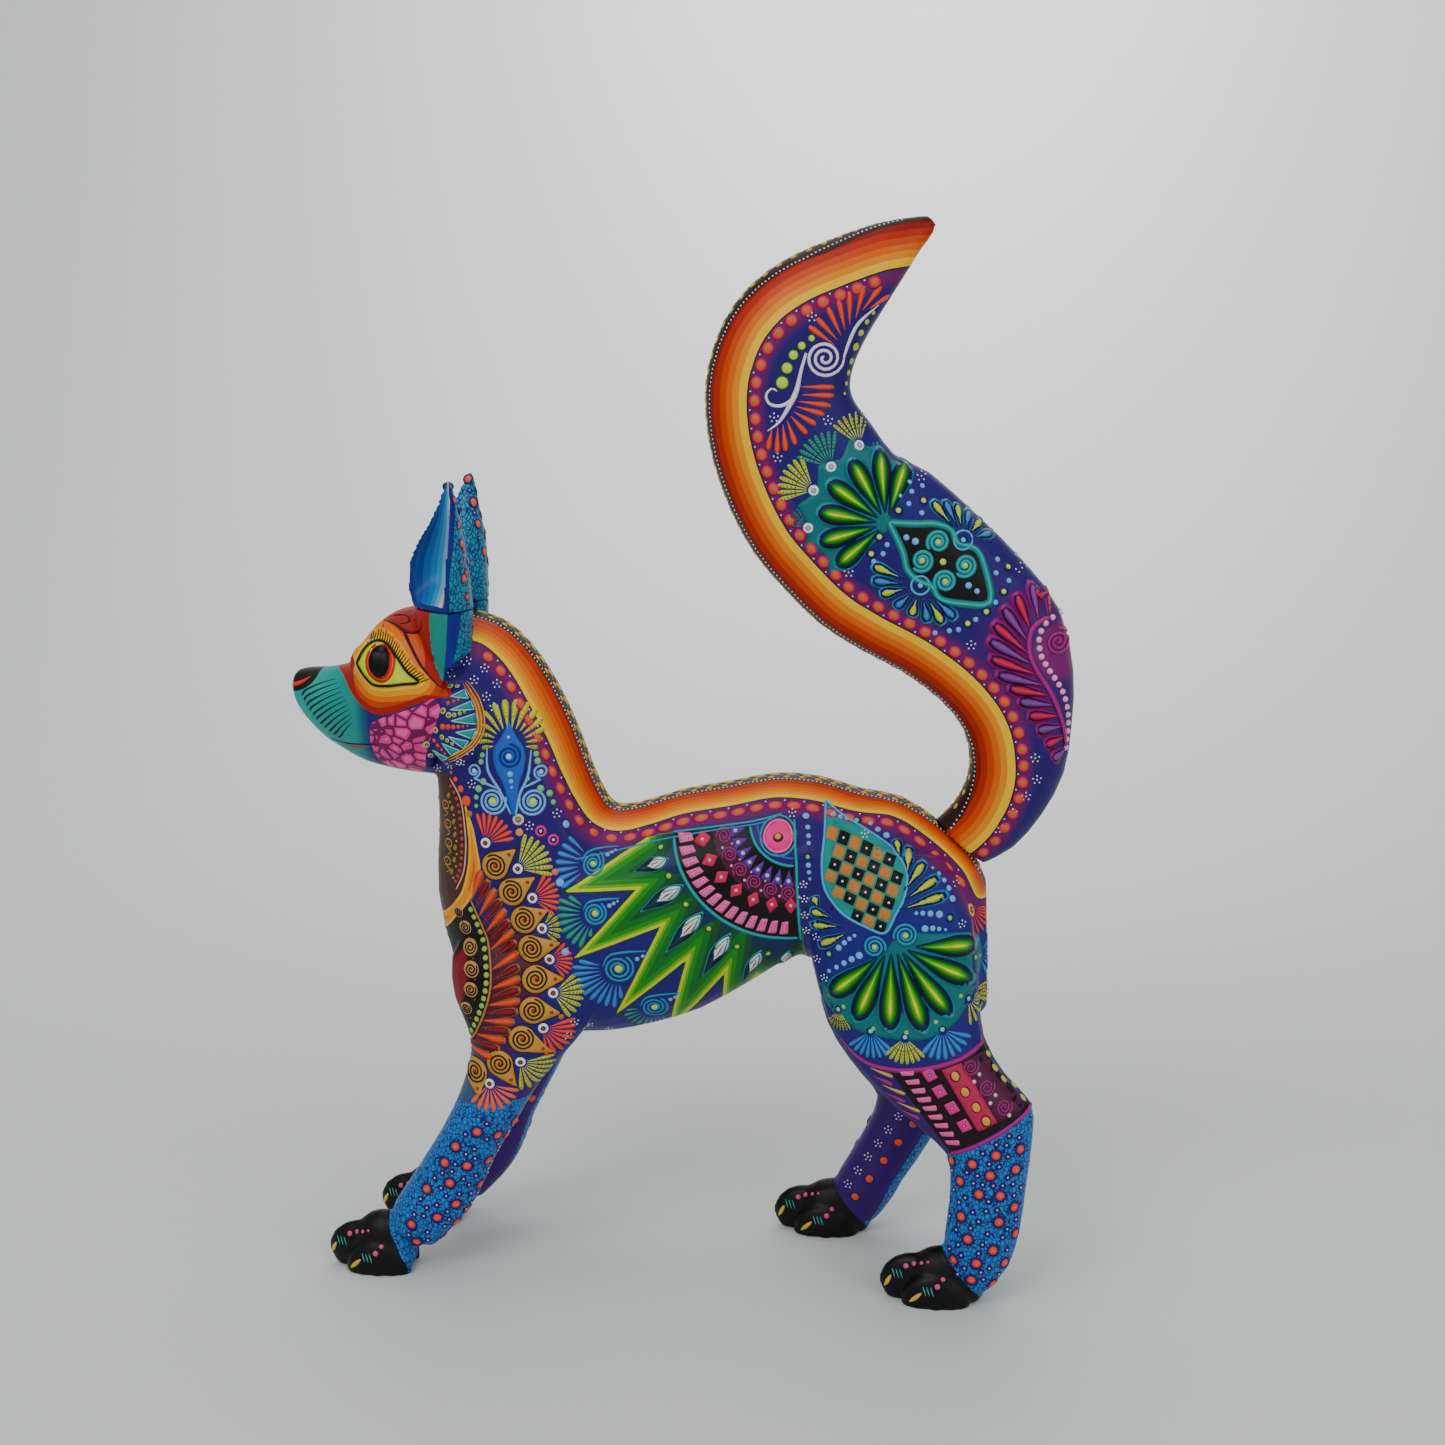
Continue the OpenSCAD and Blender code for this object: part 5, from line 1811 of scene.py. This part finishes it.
def paint_tail_leaf(p):
    """The black leaf with four spirals, and the petals and drops on both sides of it."""
    p.stroke(BLACK_LEAF, 1.5, DEEP_TEAL, 1)
    p.stroke(BLACK_LEAF, 0.4, "22B0A8", 4)
    for x, z, hand in ((103.5, 306.5, 1), (97.5, 299.5, -1), (114, 297.5, -1), (106.5, 291.5, 1)):
        ringed_spiral(p, x, z, 4.4, AQUA, LIME_DOT, 220, hand, 2.2, 0.75, 2)
    p.dot(105.5, 299, 1.3, LIME_DOT, 3)
    p.dots([(91.3, 308.3), (94.8, 306.8)], (1.2, 1.4), PALE_BLUE, 1)
    p.dots([(115.5, 290), (118.8, 287.8)], (1.3, 1.1), PALE_BLUE, 1)
    upper = [(101.5, 321), (106, 321), (110.5, 319.5), (115, 317), (119.5, 313.5), (123.5, 309)]
    lower = [(79.5, 297), (79.5, 291.5), (82.5, 286.5), (88, 281.5), (94, 278.5), (100, 276.5),
        (105.5, 276), (110, 278)]
    for pivot, tips in (((113, 307), upper), ((97, 290), lower)):
        for k, tip in enumerate(tips):
            root = between(pivot, tip, 0.36)
            outlined_petal(p, root, tip, 1.3, "3A9AC4", NAVY, SKY if k % 2 else LIME, 1,
                None if k % 2 else LIME_DARK)
        p.ring(*pivot, 3.6, 0.45, "4AA8CC", 2)
        p.eye_dot(*pivot, 2.0, NAVY, PALE_BLUE, ICE, 3)
    for x, z in ((88, 318.5), (97.5, 322), (81, 308.5), (78, 302), (130.5, 296.5), (129, 287.5),
            (122.5, 280), (115.5, 275.5)):
        p.eye_dot(x, z, 2.0, NAVY, LIME_DOT, "E4F090", 3)
    for x, z in (
        (92, 321), (93, 325.5), (88.5, 324), (97, 317.5), (84, 305.5), (82.5, 302), (79, 299),
        (126.5, 299.5), (126, 294.5), (131, 291.5), (118.5, 277), (112, 273), (108.5, 272.5),
        (103, 271.5), (126, 283.5), (134, 300), (92, 329), (97, 327.5),
    ):
        p.dot(x, z, 1.05, PALE_BLUE, 1)


def paint_tail_rays(p):
    """The magenta half sun at the back of the tail, and the blossoms."""
    tips = smooth_line([(146, 292), (139.5, 289.5), (131, 283.5), (125.5, 275), (124, 265.5), (127, 256.5),
        (134, 248), (140.5, 238.5), (146, 229), (150, 221)])
    roots = smooth_line([(147, 277), (142, 275), (139.5, 271), (139.5, 264), (142.5, 257), (147, 250),
        (150.5, 243), (153.5, 234), (155, 225)])
    tips, roots = resampled(tips, 0.5), resampled(roots, 0.5)
    rays = 14
    for k in range(rays):
        t = k / (rays - 1)
        a, b = tuple(roots[int(t * (len(roots) - 1))]), tuple(tips[int(t * (len(tips) - 1))])
        petal_between(p, between(a, b, -0.1), between(a, b, 1.08), 3.7, "96107A", 0)
        petal_between(p, a, b, 2.3, "3C0A44", 2)
        petal_between(p, between(a, b, 0.08), between(a, b, 0.95), 1.5, "7C3C90" if k % 2 else "C41E4A", 3)
        for s in (0.3, 0.45, 0.6, 0.75):
            p.dot(*between(a, b, s), 0.3, "B08AC8" if k % 2 else "F090A8", 5, 0.1)
    p.stroke(roots, 1.0, MAGENTA, 4)
    p.spiral(150.5, 267.5, 5.0, 2.6, 0.6, MAGENTA, 3, 90, 1, 0.1)
    for x, z in resampled(smooth_line([(151.5, 277.5), (146.5, 276), (143.3, 270.5), (143.8, 263.5),
            (147, 257.5), (151, 251.5), (154, 245), (155.5, 236), (155, 225)]), 3.4):
        p.dot(x, z, 1.25, "F0A8CC", 5)
    for x, z in ((54, 391.5), (40, 353.6), (60.5, 352.5), (41.5, 338.4), (69.3, 294.5), (117, 267),
            (96.5, 331), (143, 222), (144, 213), (140, 206), (135, 199), (131, 192), (137, 297)):
        p.flower(x, z, 1.6)


def paint_inner_legs(p, side):
    """Blossoms and coral drops down the inner faces of the legs, drawn as on the right ones."""
    for first, last, count, stride, hip, drop in (
        ((91.5, 57), (70.2, 24), 6, HIND_STRIDE, HIND_HIP, False),
        ((97.7, 54), (73.5, 19), 5, HIND_STRIDE, HIND_HIP, True),
        ((-73, 62), (-103, 22), 6, FORE_STRIDE, FORE_HIP, False),
        ((-66, 60), (-96, 20), 5, FORE_STRIDE, FORE_HIP, True),
    ):
        for k in range(count):
            x, z = between(first, last, k / (count - 1))
            x -= float(lean(z, stride, hip)) if side < 0 else 0.0
            if drop:
                p.dot(x, z, 2.3, HALO, 0, 0.1)
                p.dot(x, z, 1.7, "E8502A", 1)
            else:
                p.flower(x, z, 1.5)


def painted(name, body, slot, place, painters):
    """One piece of raised paint, made by some painting functions in turn."""
    marks = Paint(name, body, slot).on(place)
    for painter in painters:
        painter(marks)
    marks.build()


# The x of the foremost point of the front and the hind toes.
TOE_FRONTS = (-145.7, 86.3)
EAR_OUTER_DOTS = [(-84, 317), (-82.3, 304), (-81.6, 290.5)]
EAR_INNER_DOTS = [(-88, 326), (-85.5, 317), (-83.6, 308), (-81.5, 296.5)]

rng = np.random.default_rng(20)
for side, word in ((-1, "left"), (1, "right")):
    sides = side_view(body_tree, side)
    legs = side_view(body_tree, side, leg_lean)
    edge = Paint("band_dots_" + word, "figure", "painted_body").on(sides)
    oval_row(edge, BACK_LINE, band_width, 7.6, 2, 1, 1.95, [1.3, 1.35, 1.7, 1.5])
    edge.build()
    for name, slot, place, painters in (
        ("flank", "painted_body", sides,
            (paint_flank_fans, paint_zigzag, paint_quarter_fan, paint_channel)),
        ("neck", "painted_body", sides, (paint_neck,)),
        ("chest", "painted_body", sides, (paint_rays, paint_chest_spirals, paint_lens, paint_panel)),
        ("thigh", "painted_legs", legs, (paint_thigh_leaf, paint_lotus, paint_knee)),
    ):
        painted(name + "_paint_" + word, "figure", slot, place, painters)
    shanks = Paint("shank_paint_" + word, "figure", "painted_legs").on(legs)
    scatter(shanks, rng, hind_shank, (108, 144, 8, 76))
    scatter(shanks, rng, fore_shank, (-118, -60, 8, 82))
    for front in TOE_FRONTS:
        shift = float(leg_lean(front, 0.0)) if side > 0 else 0.0
        for start, facing in ((70.0, -side), (2.0, side)):
            shanks.on(along_view(body_tree, (shift, side * start, 0), (1, 0, 0), (0, 0, 1), (0, facing, 0)))
            paint_toes(shanks, front)
    shanks.build()
    painted("head_paint_" + word, "figure", "painted_head", sides, (paint_muzzle, paint_eye, paint_ruff))
    tail_side = side_view(tail_tree, side)
    tail_paint = Paint("tail_paint_" + word, "tail", "painted_tail").on(tail_side)
    oval_row(tail_paint, TAIL_LINE, TAIL_BAND, 6.9, 1, 3, 2.3, [1.12] * 4)
    for painter in (paint_tail_tip, paint_tail_lotus, paint_tail_leaf, paint_tail_rays):
        painter(tail_paint)
    tail_paint.build()
    inner = Paint("inner_leg_paint_" + word, "figure", "painted_legs")
    inner.on(along_view(body_tree, (0, side, 0), (1, 0, 0), (0, 0, 1), (0, side, 0)))
    paint_inner_legs(inner, side)
    inner.build()
    ear = Paint("ear_paint_" + word, "ear_" + word, "painted_ears")
    ear.on(along_view(ear_trees[word], (-40, 0, 0), (0, 1, 0), (0, 0, 1), (-1, 0, 0)))
    for k in range(5):
        ear.eye_dot(side * 20, 283 + 9.5 * k, 2.0, HALO, "C8405A", "F0603C")
    for facing, column in ((side, EAR_OUTER_DOTS), (-side, EAR_INNER_DOTS)):
        ear.on(side_view(ear_trees[word], facing))
        for x, z in column:
            ear.dot(x, z, 2.3, HALO, 0, 0.1)
            ear.dot(x, z, 1.7, "C03A5A", 1, 0.12)
            ear.dot(x, z, 1.35, "F0603C", 2, 0.3)
        for (x, z), (x2, z2) in zip(column, column[1:]):
            ear.eye_dot((x + x2) / 2 - 0.4, (z + z2) / 2, 1.2, HALO, "4A2A9A", "C8B4E8")
    ear.build()

strip = Paint("strip_paint_back", "figure", "painted_body")
paint_strip(strip, body_tree, BACK_LINE, 6, 0, STRIP_HALF)
strip.build()
strip = Paint("strip_paint_tail", "tail", "painted_tail")
paint_strip(strip, tail_tree, TAIL_LINE, 6, 55, TAIL_STRIP_HALF)
strip.build()
breast = Paint("breast_paint", "figure", "painted_body")
breast.on(along_view(body_tree, (-200, 0, 0), (0, 1, 0), (0, 0, 1), (1, 0, 0)))
paint_chest_front(breast, rng)
breast.build()


# ---------------------------------------------------------------- floor, light and camera
LOOK_AT = (19.1, -8.0, 232.0)
AZIMUTH = math.radians(6.0)
ELEVATION = math.radians(11.5)
DISTANCE = 850.0
VIEW_WIDTH = 578.0


def vector_mm(p):
    return Vector(p) * MM


def add_sweep():
    """A pale seamless sweep: a floor that curves up into a backdrop."""
    half, near, foot, bend, top = 3.5, -3.0, 0.45, 0.75, 3.2
    profile = [(near, 0.0), (foot, 0.0)]
    profile += [
        (foot + bend * math.sin(a), bend * (1 - math.cos(a))) for a in np.radians(np.linspace(6, 90, 15))
    ]
    profile.append((foot + bend, top))
    verts = [(x, y, z) for y, z in profile for x in (-half, half)]
    faces = [(2 * k, 2 * k + 1, 2 * k + 3, 2 * k + 2) for k in range(len(profile) - 1)]
    mesh = bpy.data.meshes.new("sweep")
    mesh.from_pydata(verts, [], faces)
    mesh.polygons.foreach_set("use_smooth", [True] * len(faces))
    made = bpy.data.materials.new("sweep_plain")
    made.use_nodes = True
    shader = made.node_tree.nodes["Principled BSDF"]
    shader.inputs["Base Color"].default_value = (*linear("D6D9D6"), 1)
    shader.inputs["Roughness"].default_value = 0.7
    mesh.materials.append(made)
    obj = bpy.data.objects.new("sweep", mesh)
    bpy.context.scene.collection.objects.link(obj)


def add_light(name, place, target, size, power, code="FFFFFF"):
    lamp = bpy.data.lights.new(name, "AREA")
    lamp.size = size
    lamp.energy = power
    lamp.color = linear(code)
    obj = bpy.data.objects.new(name, lamp)
    obj.location = place
    obj.rotation_euler = (Vector(target) - Vector(place)).to_track_quat("-Z", "Y").to_euler()
    bpy.context.scene.collection.objects.link(obj)


def add_camera():
    camera = bpy.data.cameras.new("camera")
    camera.sensor_width = 36.0
    camera.lens = camera.sensor_width * DISTANCE / VIEW_WIDTH
    obj = bpy.data.objects.new("camera", camera)
    back = Vector((
        math.sin(AZIMUTH) * math.cos(ELEVATION), -math.cos(AZIMUTH) * math.cos(ELEVATION),
        math.sin(ELEVATION),
    ))
    obj.location = vector_mm(LOOK_AT) + back * DISTANCE * MM
    obj.rotation_euler = (-back).to_track_quat("-Z", "Y").to_euler()
    bpy.context.scene.collection.objects.link(obj)
    bpy.context.scene.camera = obj


add_sweep()
add_light("key", (-0.5, -1.1, 1.3), (0, 0, 0.2), 0.9, 10)
add_light("fill", (1.0, -0.9, 0.7), (0, 0, 0.2), 1.0, 4.5)
add_light("top", (0.0, 0.3, 1.6), (0, 0, 0.1), 1.2, 8)
add_light("glow", (0.1, 0.62, 1.0), (0.0, 1.2, 0.72), 0.3, 8.5)
world = bpy.data.worlds.new("room")
bpy.context.scene.world = world
world.use_nodes = True
world.node_tree.nodes["Background"].inputs[0].default_value = (0.8, 0.82, 0.85, 1)
world.node_tree.nodes["Background"].inputs[1].default_value = 0.55
add_camera()
